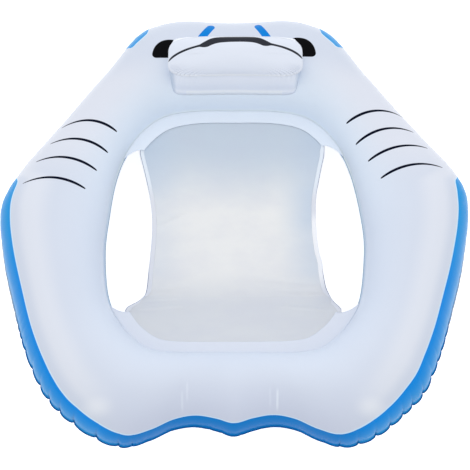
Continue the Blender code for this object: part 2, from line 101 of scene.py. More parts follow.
class Finish:
    """A material for one piece, or for a few that are made of the same stuff."""

    def __init__(self, name, roughness=0.36, specular=0.5):
        self.material = bpy.data.materials.new(name)
        self.material.use_nodes = True
        self.tree = self.material.node_tree
        self.shader = self.tree.nodes["Principled BSDF"]
        self.paint("Roughness", roughness)
        self.paint("Specular IOR Level", specular)

    def feed(self, socket, value):
        if isinstance(value, Value):
            self.tree.links.new(value.socket, socket)
        elif isinstance(value, tuple) and socket.type == "RGBA":
            socket.default_value = (*value, 1.0)
        else:
            socket.default_value = value

    def node(self, kind, settings=None, feeds=None, output=0):
        """One node: its settings first, then what its sockets get, and the socket that it gives."""
        node = self.tree.nodes.new(kind)
        for name, value in (settings or {}).items():
            if name == "points":
                curve = node.mapping.curves[0].points
                while len(curve) < len(value):
                    curve.new(0.5, 0.5)
                for point, place in zip(curve, value):
                    point.location = place
                node.mapping.update()
            else:
                setattr(node, name, value)
        for name, value in (feeds or {}).items():
            self.feed(node.inputs[name], value)
        return Value(self, node.outputs[output])

    def mix(self, share, first, second):
        """Two colours, the second by share."""
        feeds = {0: share, 6: first, 7: second}
        return self.node("ShaderNodeMix", {"data_type": "RGBA"}, feeds, 2)

    def layered(self, colour, *coats):
        """A colour with others laid over it in turn, each given as its share and its colour."""
        for share, coat in coats:
            colour = self.mix(share, colour, coat)
        return colour

    def split(self, vector):
        outputs = self.node("ShaderNodeSeparateXYZ", {}, {0: vector}).socket.node.outputs
        return [Value(self, outputs[axis]) for axis in "XYZ"]

    def point(self):
        return self.node("ShaderNodeTexCoord", {}, {}, "Object")

    def place(self):
        """x, y and z on the piece, in metres."""
        return self.split(self.point())

    def grain(self, scale, detail=2.0, roughness=0.5, stretch=(1.0, 1.0, 1.0)):
        """Soft noise from 0 to 1, with so many waves to the metre."""
        here = self.node("ShaderNodeMapping", {}, {0: self.point(), "Scale": stretch})
        feeds = {"Vector": here, "Scale": scale, "Detail": detail, "Roughness": roughness}
        return self.node("ShaderNodeTexNoise", {}, feeds, "Fac")

    def attribute(self, name):
        return self.node("ShaderNodeAttribute", {"attribute_name": name}, {}, "Fac")

    def to_eye(self):
        """1 for the camera's rays, straight, mirrored or through a clear piece, and 0 for the rest."""
        rays = ("Is Camera Ray", "Is Glossy Ray", "Is Transmission Ray")
        seen, mirrored, through = [self.node("ShaderNodeLightPath", {}, {}, ray) for ray in rays]
        return seen.at_least(mirrored).at_least(through)

    def bump(self, height, strength, distance):
        feeds = {"Height": height, "Strength": strength, "Distance": distance}
        self.paint("Normal", self.node("ShaderNodeBump", {}, feeds, "Normal"))

    def paint(self, socket, value):
        self.feed(self.shader.inputs[socket], value)


def own_mesh(name, shape):
    """An object at the origin from a bmesh, smooth all over."""
    for face in shape.faces:
        face.smooth = True
    mesh = bpy.data.meshes.new(name)
    shape.to_mesh(mesh)
    shape.free()
    piece = bpy.data.objects.new(name, mesh)
    bpy.context.scene.collection.objects.link(piece)
    return piece


FLOOR_SIZE = 14.0
FLOOR_GREY = (0.80, 0.80, 0.80)
FLOOR_GLOW = (0.90, 0.90, 0.90)
UNLIT = (0.0, 0.0, 0.0)
floor_shape = bmesh.new()
bmesh.ops.create_grid(floor_shape, x_segments=2, y_segments=2, size=FLOOR_SIZE / 2)
floor = own_mesh("floor", floor_shape)
floor_paint = Finish("floor_paint", roughness=0.9, specular=0.1)
floor_paint.paint("Base Color", FLOOR_GREY)
floor_paint.paint("Emission Color", floor_paint.mix(floor_paint.to_eye(), UNLIT, FLOOR_GLOW))
floor_paint.paint("Emission Strength", 1.0)
floor.data.materials.append(floor_paint.material)

# The light of the room: palest overhead and behind the head end, duller low down and in front
ROOM_DULL = (0.78, 0.78, 0.78)
ROOM_BRIGHT = (1.06, 1.06, 1.06)
ROOM_UP = 0.55
ROOM_BACK = 0.45
ROOM_SIDES = 0.18
ROOM_FADE = (-0.25, 0.85)
PLAIN_WHITE = (1.0, 1.0, 1.0)


class Sky(Finish):
    """The same tools on the world's own nodes."""

    def __init__(self, world):
        self.tree = world.node_tree
        self.shader = self.tree.nodes["Background"]


world = bpy.data.worlds.new("studio")
bpy.context.scene.world = world
world.use_nodes = True
sky = Sky(world)
way_x, way_y, way_z = sky.split(sky.node("ShaderNodeTexCoord", {}, {}, "Generated"))
share = (way_z * ROOM_UP + way_y * ROOM_BACK + abs(way_x) * ROOM_SIDES).step(*ROOM_FADE)
room = sky.mix(share, ROOM_DULL, ROOM_BRIGHT)
sky.paint("Color", sky.mix(sky.to_eye(), room, PLAIN_WHITE))
sky.paint("Strength", 1.0)

# Each lamp: where it stands, what it faces, its size and its power
LAMPS = {
    "overhead": ((0.0, 0.9, 3.4), (0.0, 0.0, 0.1), 3.0, 8.0),
    "front_left": ((-1.5, -2.4, 1.7), (-0.3, -0.4, 0.2), 0.7, 0.6),
    "front_right": ((1.5, -2.4, 1.7), (0.3, -0.4, 0.2), 0.7, 0.6),
}
for lamp, (stand, faces, width, power) in LAMPS.items():
    light = bpy.data.lights.new(lamp, "AREA")
    light.size = width
    light.energy = power
    softbox = bpy.data.objects.new(lamp, light)
    softbox.location = stand
    softbox.rotation_euler = (Vector(faces) - Vector(stand)).to_track_quat("-Z", "Y").to_euler()
    bpy.context.scene.collection.objects.link(softbox)

# The camera: degrees down, metres from the point that it looks at, its lens and film in mm, and its shift,
# 0.7 pixels in a picture 470 wide
LOOK_DOWN = 70.0
LOOK_FROM = 3.5
LOOK_AT = (0.0, -0.033, 0.14)
LENS = 96.5
FILM_WIDTH = 36.0
SHIFT = 0.7 / 470
view = bpy.data.cameras.new("photo_eye")
view.lens = LENS
view.sensor_width = FILM_WIDTH
view.shift_x = SHIFT
camera = bpy.data.objects.new("photo_eye", view)
drop = math.radians(LOOK_DOWN)
camera.location = Vector(LOOK_AT) + LOOK_FROM * Vector((0.0, -math.cos(drop), math.sin(drop)))
camera.rotation_euler = (math.radians(90.0 - LOOK_DOWN), 0.0, 0.0)
bpy.context.scene.collection.objects.link(camera)
bpy.context.scene.camera = camera
bpy.context.scene.view_settings.view_transform = "Standard"


# Ring, top film: a flat sheet of printed vinyl, welded along its outer and inner edge to the bottom film and
# blown up into a tube. The weld leaves a narrow lip, and the spare film beside it gathers into folds at each
# corner.
MM = 0.001
FILM = 0.4 * MM
SEAM_HEIGHT = 0.1463
FILM_PARTING = 0.15 * MM + FILM
WELD_LIP = 5 * MM
# The outer lip is narrower towards the head: how much, from what y of its direction on, and over what more
SHOULDER_TRIM = 3 * MM
TRIM_START = -0.35
TRIM_FADE = 0.3
# Half outlines of the two seams from the middle of the tail to the middle of the head, seen from above
OUTER_SEAM = (
    (0.0, -0.593), (0.050, -0.578), (0.103, -0.568), (0.160, -0.577), (0.220, -0.605), (0.285, -0.623),
    (0.355, -0.6045), (0.427, -0.5555), (0.501, -0.475), (0.557, -0.364), (0.598, -0.231), (0.632, -0.100),
    (0.649, 0.035), (0.611, 0.137), (0.528, 0.248), (0.439, 0.362), (0.356, 0.475), (0.285, 0.566),
    (0.220, 0.6015), (0.150, 0.615), (0.070, 0.6105), (0.0, 0.608),
)
INNER_SEAM = (
    (0.0, -0.374), (0.085, -0.374), (0.160, -0.374), (0.222, -0.366), (0.268, -0.336), (0.309, -0.290),
    (0.3455, -0.218), (0.3605, -0.085), (0.3533, 0.020), (0.3348, 0.130), (0.304, 0.215), (0.258, 0.281),
    (0.200, 0.323), (0.115, 0.3405), (0.0, 0.342),
)
# Half the tube's height, by the direction in degrees from the middle of the hole
HALF_HEIGHTS = (
    (-90, 0.115), (-79.5, 0.106), (-58, 0.150), (-5, 0.150), (38, 0.124), (74, 0.1475), (90, 0.1475),
)
# Folds at the outer seam as (direction, depth in mm): those that the photograph shows, then the rest by steps
TAIL_FOLDS = (
    (-93.2, 1.6), (-88.3, 1.4), (-83.0, 0.8), (-78.0, 0.4), (-73.5, 0.7), (-68.8, 2.4), (-66.1, 6.0),
    (-62.2, 6.5), (-58.0, 7.5), (-54.2, 7.5), (-50.5, 7.0), (-47.6, 8.0), (-44.0, 8.5), (-39.7, 6.5),
    (-36.1, 4.5), (-33.4, 3.5), (-30.0, 2.4), (-27.0, 1.8), (-23.0, 1.2), (-19.0, 0.9), (-15.0, 0.8),
)
LEFT_TAIL_FOLDS = (
    (-96.4, 1.6), (-101.0, 0.5), (-106.0, 0.7), (-110.5, 1.6), (-113.3, 5.5), (-116.0, 6.5), (-121.1, 8.0),
    (-127.0, 8.5), (-131.0, 8.0), (-134.5, 8.0), (-138.2, 7.0), (-142.3, 5.5), (-147.0, 4.0), (-149.7, 3.2),
    (-151.5, 2.4), (-153.4, 2.0), (-156.5, 1.4), (-160.5, 1.0), (-165.0, 0.8),
)
SIDE_FOLD_STEP = 3.6
# The folds by steps, in mm: how deep each is, and how much more at the corners, which lie these degrees from
# the middle of the head
SIDE_FOLD = 0.9
CORNER_FOLD = 4.6
CORNERS = (26.0, 76.0)
CORNER_SPREAD = 9.0
# The ring isn't quite even: how far the outer seam stands out from its outline, as (direction, mm) a half
RIGHT_BULGE = (
    (-58, 0.0), (-49, 1.0), (-44, 5.0), (-39, 0.5), (-29, -3.6), (-18, -1.8), (-8, -1.8), (2.4, 1.2),
    (7.6, 8.0), (12.6, 7.7), (18, 3.8), (29, 1.0), (45, 0.0), (50, -2.0), (55, 0.0), (60, 1.2), (70, 0.0),
    (90, -1.0),
)
LEFT_BULGE = (
    (-58, 0.5), (-53.5, 2.7), (-49, 6.0), (-44, 6.0), (-39, 4.0), (-29, 1.5), (-10, 1.6), (2, 0.0),
    (7.6, -5.0), (12, -8.6), (18, -8.0), (29, -6.4), (42, -3.8), (50, -6.5), (55, -5.3), (60, -2.4),
    (66, -0.8), (75, -2.0), (90, -1.0),
)
# The hole is shifted to the right round this direction
HOLE_SHIFT = 2.5 * MM
SHIFT_MIDDLE = -2.0
SHIFT_SPREAD = 17.0
# How far up the section a fold reaches, in degrees, and how many columns each fold has
FOLD_REACH = 19.0
FOLD_COLUMNS = 8
ARC_ROWS = 54
# How much of the columns' and rows' spacing is even. The rest draws them towards the folds and the seams
EVEN_COLUMNS = 0.45
EVEN_ROWS = 0.42
SLACK = 0.5 * MM
# The bands cover the inner lip from here on, in degrees from the sides
LIP_IN_SIGHT = 36.0
# How far a fold draws the lip in, of its own depth. Its painted shade reaches farther up than the fold itself
LIP_DRAWN = 0.9
SHADE_STEEPNESS = 0.7
DEEP_FOLD = 8.5 * MM
# Short creases that run up from the two notches of the tail edge: the place, half width and height of each
TAIL_CREASES = (
    (-0.1215, -0.500, 3.2 * MM, 2.0 * MM),
    (-0.1335, -0.502, 6.5 * MM, -2.5 * MM),
    (0.1128, -0.516, 3.2 * MM, 3.0 * MM),
    (0.0990, -0.520, 6.0 * MM, -3.5 * MM),
)
CREASE_REACH = 0.030
# Where the printed white ends above the outer seam, in degrees up the section, by direction
BORDER_TURNS = (
    (-90, 33.7), (-84, 33.1), (-78, 32.4), (-75, 31.1), (-72, 30.4), (-69, 29.7), (-66, 29.9), (-63, 32.3),
    (-60, 34.9), (-57, 36.9), (-54, 38.5), (-51, 39.8), (-48, 42.3), (-45, 44.9), (-42, 46.5), (-39, 47.2),
    (-34, 47.4), (-24, 46.1), (-12, 45.0), (-6, 44.1), (0, 44.8), (5, 45.3), (8, 43.0), (9.5, 34.0),
    (11, 20.0), (13, 12.0), (56, 12.0), (57.8, 25.0), (59, 50.0), (61, 53.5), (64, 53.0), (65.5, 48.0),
    (67, 30.0), (69, 14.0), (90, 12.0),
)
BORDER_LEAN = 2.0


def smooth_outline(points, steps=12):
    """A smooth curve through half an outline that crosses the middle plane square at both ends."""
    ahead, behind = points[1], points[-2]
    knots = [Vector((-ahead[0], ahead[1])), *map(Vector, points), Vector((-behind[0], behind[1]))]
    line = []
    for a, b, c, d in zip(knots, knots[1:], knots[2:], knots[3:]):
        for i in range(steps):
            t = i / steps
            bend = (2 * a - 5 * b + 4 * c - d) * t * t + (3 * b - a - 3 * c + d) * t**3
            line.append((2 * b + (c - a) * t + bend) / 2)
    line.append(knots[-2])
    return line


outer_line = smooth_outline(OUTER_SEAM)
inner_line = smooth_outline(INNER_SEAM)


def folded_back(degrees):
    """The same direction on the right-hand half, and 1 or -1 for the side that it was on."""
    degrees = (degrees + 180.0) % 360.0 - 180.0
    if degrees > 90.0:
        return 180.0 - degrees, -1
    if degrees < -90.0:
        return -180.0 - degrees, -1
    return degrees, 1


def crossing(line, degrees):
    """How far out an outline crosses a direction from the middle of the hole."""
    degrees, _ = folded_back(degrees)
    way = Vector((math.cos(math.radians(degrees)), math.sin(math.radians(degrees))))
    for p, q in zip(line, line[1:]):
        before = way.x * p.y - way.y * p.x
        after = way.x * q.y - way.y * q.x
        if before <= 0.0 <= after:
            return p.lerp(q, before / (before - after)).length
    return line[-1].length if degrees > 0 else line[0].length


def eased(table, degrees):
    """A value read from (direction, value) pairs, with smooth steps between them."""
    degrees, _ = folded_back(degrees)
    for (low, first), (high, last) in zip(table, table[1:]):
        if degrees <= high:
            t = max(0.0, (degrees - low) / (high - low))
            return first + (last - first) * t * t * (3 - 2 * t)
    return table[-1][1]


def curved(table, place):
    """A value read from (place, value) pairs along a smooth curve through them."""
    table = (table[0], *table, table[-1])
    place = min(max(place, table[0][0]), table[-1][0])
    for before, low, high, after in zip(table, table[1:], table[2:], table[3:]):
        if place <= high[0]:
            span = high[0] - low[0]
            t = (place - low[0]) / span
            start = (high[1] - before[1]) / (high[0] - before[0]) * span
            stop = (after[1] - low[1]) / (after[0] - low[0]) * span
            bend = (3 * t * t - 2 * t**3) * (high[1] - low[1])
            return low[1] + bend + (t**3 - 2 * t * t + t) * start + (t**3 - t * t) * stop
    return table[-1][1]


def all_folds():
    """Every fold round the ring, anticlockwise from the tail, as (direction, depth in metres)."""
    right = [fold for fold in TAIL_FOLDS if fold[0] > -90.0]
    left = [(degrees + 360.0, depth) for degrees, depth in (*TAIL_FOLDS[:1], *LEFT_TAIL_FOLDS)]
    first, last = right[-1][0], min(fold[0] for fold in left)
    count = round((last - first) / SIDE_FOLD_STEP)
    between = []
    for i in range(1, count):
        degrees = first + (last - first) * (i + 0.22 * math.sin(2.3 * i)) / count
        aside = abs(degrees - 90.0)
        corner = max(math.exp(-(((aside - spot) / CORNER_SPREAD) ** 2)) for spot in CORNERS)
        between.append((degrees, SIDE_FOLD + CORNER_FOLD * corner * (0.8 + 0.2 * math.sin(5.1 * i))))
    return sorted((degrees, depth * MM) for degrees, depth in (*right, *between, *left))


folds = all_folds()


def spaced(t, even):
    """The share t of a run, drawn towards its two ends by what isn't even."""
    return even * t + (1 - even) * (1 - math.cos(math.pi * t)) / 2


def fold_columns():
    """Directions of the film's columns with the depth that the folds draw each one in, closest at a fold."""
    found = []
    closing = (folds[0][0] + 360.0, folds[0][1])
    for (start, deep), (stop, deeper) in zip(folds, [*folds[1:], closing]):
        for i in range(FOLD_COLUMNS):
            t = spaced(i / FOLD_COLUMNS, EVEN_COLUMNS)
            swell = (4 * t * (1 - t)) ** 0.55
            found.append((start + (stop - start) * t, (deep + (deeper - deep) * t) * (1 - swell)))
    return found


def hole_shift(degrees):
    """The hole lies a little to the right of the middle at its widest."""
    degrees, _ = folded_back(degrees)
    return HOLE_SHIFT * math.exp(-(((degrees - SHIFT_MIDDLE) / SHIFT_SPREAD) ** 2))


class Column:
    """One cut through the tube: its outer and inner seam, half height and how far a fold draws it in."""

    def __init__(self, degrees, drawn):
        self.degrees = degrees
        self.drawn = drawn
        self.way = Vector((math.cos(math.radians(degrees)), math.sin(math.radians(degrees)), 0.0))
        half, side = folded_back(degrees)
        bulge = curved(RIGHT_BULGE if side > 0 else LEFT_BULGE, half)
        self.outer = crossing(outer_line, degrees) + bulge * MM
        self.inner = crossing(inner_line, degrees) + self.way.x * hole_shift(degrees)
        self.middle = (self.outer + self.inner) / 2
        self.reach = (self.outer - self.inner) / 2
        self.half_height = eased(HALF_HEIGHTS, degrees)

    def at(self, turn, side, out=0.0, off=0.0):
        """A point at turn degrees up the section, out from it and off the seam line."""
        cos, sin = math.cos(math.radians(turn)), math.sin(math.radians(turn))
        normal = Vector((cos / self.reach, sin / self.half_height)).normalized()
        flat = self.middle + self.reach * cos + normal.x * out + off
        height = self.half_height * sin + normal.y * out
        rise = SEAM_HEIGHT + side * (FILM_PARTING + height)
        return Vector((self.way.x * flat, self.way.y * flat, rise))


columns = [Column(degrees, drawn) for degrees, drawn in fold_columns()]
# Turns up the section from outer to inner seam
turns = [180.0 * spaced(i / ARC_ROWS, EVEN_ROWS) for i in range(ARC_ROWS + 1)]


def fold_draw(column, turn):
    """How far the nearest fold pulls the film in, that far up from the outer seam."""
    return column.drawn * math.exp(-((turn / FOLD_REACH) ** 1.5))


def film_slack(column, turn):
    """The film isn't quite even between its two welds."""
    spot = column.way * 5.0 + Vector((0.0, 0.0, turn / 25.0))
    return SLACK * math.sin(math.radians(turn)) * noise.noise(spot)


def crease_lift(point):
    """How far the creases at the tail raise the film there."""
    lift = 0.0
    for x, y, width, height in TAIL_CREASES:
        along = math.exp(-(((point.y - y) / CREASE_REACH) ** 4))
        lift += height * along * math.exp(-(((point.x - x) / width) ** 2))
    return lift


def cut_film(across, along, *marks):
    """A flat grid of film, its layers for what the print reads, and each point with its column and row."""
    shape = bmesh.new()
    layers = [shape.verts.layers.float.new(mark) for mark in marks]
    bmesh.ops.create_grid(shape, x_segments=across, y_segments=along, size=0.5)
    cells = []
    for vert in shape.verts:
        cells.append((vert, round((vert.co.x + 0.5) * across), round((vert.co.y + 0.5) * along)))
    return shape, layers, cells


def weld_film(name, shape, outwards, thickness=FILM):
    """The shaped film, closed where it meets itself, with its faces outwards and its wall behind them.

    Its farthest point in the direction outwards shows which way its faces point.
    """
    bmesh.ops.remove_doubles(shape, verts=shape.verts, dist=0.001 * MM)
    bmesh.ops.recalc_face_normals(shape, faces=shape.faces)
    shape.normal_update()
    if max(shape.verts, key=lambda vert: vert.co.dot(outwards)).normal.dot(outwards) < 0:
        bmesh.ops.reverse_faces(shape, faces=shape.faces)
    film = own_mesh(name, shape)
    wall = film.modifiers.new("wall", "SOLIDIFY")
    wall.thickness = thickness
    wall.offset = -1
    return film


def ring_film(name, side):
    """One of the ring's two films, wrapped over the tube with its weld lips: the top one for side 1."""
    last = len(turns) + 1
    marks = ("flank", "inward", "lip", "crease")
    shape, (flank, inward, lip, crease), cells = cut_film(len(columns), last, *marks)
    for vert, i, row in cells:
        column = columns[i % len(columns)]
        turn = turns[min(max(row - 1, 0), len(turns) - 1)]
        drawn = fold_draw(column, turn)
        if row == 0:
            trimmed = SHOULDER_TRIM * min(max((column.way.y - TRIM_START) / TRIM_FADE, 0.0), 1.0)
            vert.co = column.at(0.0, side, off=WELD_LIP - trimmed - LIP_DRAWN * drawn)
        elif row == last:
            vert.co = column.at(180.0, side, off=-WELD_LIP)
        else:
            vert.co = column.at(turn, side, out=film_slack(column, turn) - drawn)
        if side > 0:
            vert.co.z += crease_lift(vert.co)
        else:
            vert.co.z = max(vert.co.z, 0.0)
        half, _ = folded_back(column.degrees)
        lean = BORDER_LEAN * column.way.x * min(column.way.y, 0.0)
        vert[flank] = (turn + lean - curved(BORDER_TURNS, half)) / 90.0
        vert[inward] = turn / 180.0
        vert[lip] = 1.0 if row == 0 or (row == last and abs(half) < LIP_IN_SIGHT) else 0.0
        vert[crease] = fold_draw(column, SHADE_STEEPNESS * turn) / DEEP_FOLD
    return weld_film(name, shape, Vector((0.0, 0.0, side)))


# Printed stripes on the shoulders, each by its outer tip, its crown and its inner tip
STRIPES = (
    ((-0.4811, 0.2464), (-0.4129, 0.2565), (-0.3261, 0.2371)),
    ((-0.5073, 0.1920), (-0.4447, 0.1987), (-0.3494, 0.1754)),
    ((-0.5429, 0.1359), (-0.4803, 0.1415), (-0.3764, 0.1163)),
    ((-0.5741, 0.0693), (-0.5025, 0.0784), (-0.4036, 0.0562)),
    ((0.4728, 0.2871), (0.4008, 0.2873), (0.3120, 0.2618)),
    ((0.4970, 0.2316), (0.4436, 0.2330), (0.3370, 0.2018)),
    ((0.5327, 0.1808), (0.4778, 0.1785), (0.3678, 0.1454)),
    ((0.5690, 0.1190), (0.5067, 0.1201), (0.3987, 0.0884)),
)
# A stripe's half width, the shares of it that the stripe starts from and gains to its heel, and how blunt its
# ends are
STRIPE_HALF = 5.0715 * MM
STRIPE_TIP = 0.50
STRIPE_GAIN = 0.52
STRIPE_ENDS = 0.25
PRINT_EDGE = 0.7 * MM
# Eye patches: the middle of the flat lower edge and the two radii, then how round corners and outline are
EYES = (((-0.1850, 0.4395), (0.0455, 0.0570)), ((0.1820, 0.4430), (0.0470, 0.0605)))
EYE_CORNER = 13 * MM
EYE_POWER = 2.25
# Blue marks: foot, head and half width
MARKS = (((-0.0985, 0.490), (-0.0668, 0.5440), 11.4 * MM), ((0.0990, 0.490), (0.0680, 0.5480), 10.9 * MM))


def any_of(patches):
    """The strongest of a few printed patches at each point."""
    most, *others = patches
    for patch in others:
        most = most.at_least(patch)
    return most


def film_gloss(finish):
    """The shine of blown-up film: a little uneven, with a fine grain."""
    finish.paint("Roughness", 0.27 + finish.grain(9.0, 3.0) * 0.10)
    finish.bump(finish.grain(260.0), 0.06, 0.4 * MM)


top_print = Finish("printed_vinyl", specular=0.05)
x, y, z = top_print.place()
stripes, eyes, blue_marks = [], [], []
for tip, crown, heel in STRIPES:
    run = Vector(heel) - Vector(tip)
    length = run.length
    run.normalize()
    rise = Vector(crown) - Vector(tip)
    peak, bow = rise.dot(run) / length, run.x * rise.y - run.y * rise.x
    dx, dy = x - tip[0], y - tip[1]
    along = ((dx * run.x + dy * run.y) / length).clipped()
    across = dy * run.x - dx * run.y
    ends = along * (1.0 - along)
    offset = abs(across - ends * (bow / (peak * (1.0 - peak))))
    width = (STRIPE_TIP + STRIPE_GAIN * along) * (4.0 * ends) ** STRIPE_ENDS * STRIPE_HALF
    stripes.append(((width - offset) / PRINT_EDGE).clipped())
for (eye_x, eye_y), (wide, tall) in EYES:
    sideways, upwards = abs((x - eye_x) / wide), abs((y - eye_y) / tall)
    round_way = (sideways ** EYE_POWER + upwards ** EYE_POWER) ** (1 / EYE_POWER)
    beyond = ((round_way - 1.0) * wide + EYE_CORNER).at_least(0.0)
    below = (eye_y - y + EYE_CORNER).at_least(0.0)
    out = (beyond * beyond + below * below).root() - EYE_CORNER
    eyes.append((0.5 - out / PRINT_EDGE).clipped())
for (foot_x, foot_y), head, half in MARKS:
    run = Vector(head) - Vector((foot_x, foot_y))
    length = run.length
    run.normalize()
    dx, dy = x - foot_x, y - foot_y
    along = ((dx * run.x + dy * run.y) / length).clipped() * length
    gap = ((dx - along * run.x) ** 2.0 + (dy - along * run.y) ** 2.0).root()
    blue_marks.append((0.5 - (gap - half) / PRINT_EDGE).clipped())

WHITE = (0.650, 0.705, 0.820)
# The next five whites are the same film, lighter or darker as painted light and shade
FLANK_HIGHLIGHT_WHITE = (0.730, 0.770, 0.860)
TAIL_SHADE_WHITE = (0.615, 0.665, 0.800)
SHOULDER_LIT_WHITE = (0.720, 0.755, 0.850)
INNER_LIT_WHITE = (0.730, 0.800, 0.920)
HEAD_INNER_LIT_WHITE = (0.800, 0.890, 1.000)
SEAM_BLUE = (0.001, 0.250, 0.780)
# The next three blues are the same film, lighter, greyer or darker as painted light, sheen and shade
SHOULDER_LIT_BLUE = (0.006, 0.300, 0.735)
FLANK_SHEEN_BLUE = (0.020, 0.305, 0.720)
TAIL_SHADE_BLUE = (0.003, 0.203, 0.610)
MARK_BLUE = (0.002, 0.215, 0.680)
BLACK = (0.001, 0.001, 0.002)
STRIPE_INK = (0.001, 0.003, 0.016)
WELD_LIT_WHITE = (0.620, 0.750, 0.920)
HEAD_WELD_LIT_WHITE = (0.880, 0.960, 1.000)
# The lips are darker lines, partly the blue of the doubled film and partly painted shade
INNER_LIP_SHADE = (0.460, 0.580, 0.700)
OUTER_LIP_SHADE = (0.002, 0.090, 0.330)
SHOULDER_LIP_SHADE = (0.450, 0.520, 0.620)
# A thin painted highlight along the edge of the white print
EDGE_HIGHLIGHT_WHITE = (0.640, 0.860, 1.000)
# A painted highlight on each tail lobe, a little longer from side to side than fore and aft
GLEAM_WHITE = (0.860, 0.890, 0.940)
GLEAM_ASIDE = 0.350
GLEAM_LINE = -0.545
GLEAM_REACH = 0.055
GLEAM_NARROWS = 2.5
GLEAM_STRENGTH = 0.5
# Painted highlights where the short creases at the tail catch the light: where, and how strongly, then how
# far across and along
CREASE_GLEAM = (0.840, 0.910, 1.000)
CREASE_LIGHTS = (
    (-0.1340, -0.524, 0.24), (-0.1210, -0.500, 0.24), (0.1108, -0.519, 0.55), (0.0920, -0.514, 0.15),
)
LIGHT_ACROSS = (4.5 * MM, 1.0 * MM)
LIGHT_ALONG = (30 * MM, 12 * MM)
FOLD_SHADE = 0.55
# The printed patches keep above this height
PRINT_LINE = (SEAM_HEIGHT + 0.02, SEAM_HEIGHT + 0.03)
inward = top_print.attribute("inward")
flank = top_print.attribute("flank")
to_head = y.step(-0.12, 0.28)
to_tail = (0.0 - y).step(0.38, 0.50) * abs(x).step(0.38, 0.24)
# Painted light and shade on the white: a painted highlight along the flanks, lighter shoulders, a darker
# tail, and lighter, bluer film down into the hole, where light comes through it
on_flank = flank.step(0.08, 0.25) * flank.step(0.62, 0.34) * abs(x).step(0.25, 0.42)
on_shoulders = y.step(0.04, 0.20) * y.step(0.47, 0.36)
on_tail = to_tail * flank.step(0.80, 0.10)
from_gleam = ((abs(x) - GLEAM_ASIDE) ** 2.0 + (y - GLEAM_LINE) ** 2.0 * GLEAM_NARROWS).root()
in_gleam = from_gleam.step(GLEAM_REACH, 0.0) * GLEAM_STRENGTH
crease_lights = []
for spot_x, spot_y, strength in CREASE_LIGHTS:
    crease_light = abs(x - spot_x).step(*LIGHT_ACROSS) * abs(y - spot_y).step(*LIGHT_ALONG)
    crease_lights.append((crease_light * strength, CREASE_GLEAM))
in_hole = (inward - 0.52 + top_print.grain(3.0) * 0.16).step(0.0, 0.42)
white = top_print.layered(
    WHITE,
    (on_flank, FLANK_HIGHLIGHT_WHITE),
    (on_shoulders, SHOULDER_LIT_WHITE),
    (on_tail, TAIL_SHADE_WHITE),
    (in_gleam, GLEAM_WHITE),
    *crease_lights,
    (in_hole, top_print.mix(to_head, INNER_LIT_WHITE, HEAD_INNER_LIT_WHITE)),
    (flank.step(0.026, 0.010), EDGE_HIGHLIGHT_WHITE),
)
# Painted light and shade on the blue: lighter towards the head, a greyer painted sheen towards the seam, and
# darker on the tail and in the folds
blue = top_print.layered(
    SEAM_BLUE,
    (y.step(-0.25, 0.00), SHOULDER_LIT_BLUE),
    ((0.0 - flank * 3.2).clipped(), FLANK_SHEEN_BLUE),
    (to_tail, TAIL_SHADE_BLUE),
    (top_print.attribute("crease").step(0.20, 0.90) * FOLD_SHADE, OUTER_LIP_SHADE),
)
# Down to the inner weld the white film is bluer and lighter, most at the head, as painted light from the blue
# film behind it. Both lips are darker lines, partly the blue of the doubled film and partly painted shade.
weld_lit_white = top_print.mix(to_head, WELD_LIT_WHITE, HEAD_WELD_LIT_WHITE)
outer_lip_shade = top_print.mix(y.step(-0.34, -0.24), OUTER_LIP_SHADE, SHOULDER_LIP_SHADE)
on_top = z.step(*PRINT_LINE)
skin = top_print.layered(
    blue,
    (flank.step(-0.007, 0.007), white),
    (any_of(blue_marks) * on_top, MARK_BLUE),
    (any_of(stripes) * on_top, STRIPE_INK),
    (any_of(eyes) * on_top, BLACK),
    (inward.step(0.955, 0.995), weld_lit_white),
    (top_print.attribute("lip").step(0.15, 0.6), top_print.mix(inward.step(0.4, 0.6), outer_lip_shade, INNER_LIP_SHADE)),
)
top_print.paint("Base Color", skin)
film_gloss(top_print)

ring_top = ring_film("ring_top_film", 1)
ring_top.data.materials.append(top_print.material)
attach(ring_top, "lounger")
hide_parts("ring_top_skin")


# Ring, bottom film: the same cut in blue vinyl, welded lip to lip under the top film. It carries the ring's
# valve behind the head, where a flat flange is welded over a hole in the film.
# Where the plug's hinge lies from the valve's middle
HINGE_OFFSET = 7.8 * MM
HINGE_RISE = 1.1 * MM
HOLE_RADIUS = 11.5 * MM
HOLE_SIDES = 48
DRILL_LENGTH = 20 * MM
FLANGE_SUNK = 0.05 * MM
# The film is flat this far out, and blends into its own shape from there
FLAT_RADIUS = 18 * MM
FLAT_BLEND = 46 * MM
FLAT_DEPTH = 30 * MM
BOTTOM_BLUE = (0.035, 0.290, 0.800)
BOTTOM_INNER_BLUE = (0.060, 0.340, 0.830)


def valve_place(prefix):
    """Where a valve sits in its film, read from its joints: Z out of the film, X towards the strap."""
    joints = {joint["name"]: joint for joint in frame["joints"]}
    hinge = joints[prefix + "_plug_hinge"]
    out = Vector(joints[prefix + "_stem_slide"]["axis"]).normalized()
    across = Vector(hinge["axis"]).normalized()
    strap = across.cross(out)
    centre = Vector(hinge["pos_m"]) - strap * HINGE_OFFSET - out * HINGE_RISE
    return Matrix.Translation(centre) @ Matrix((strap, across, out)).transposed().to_4x4()


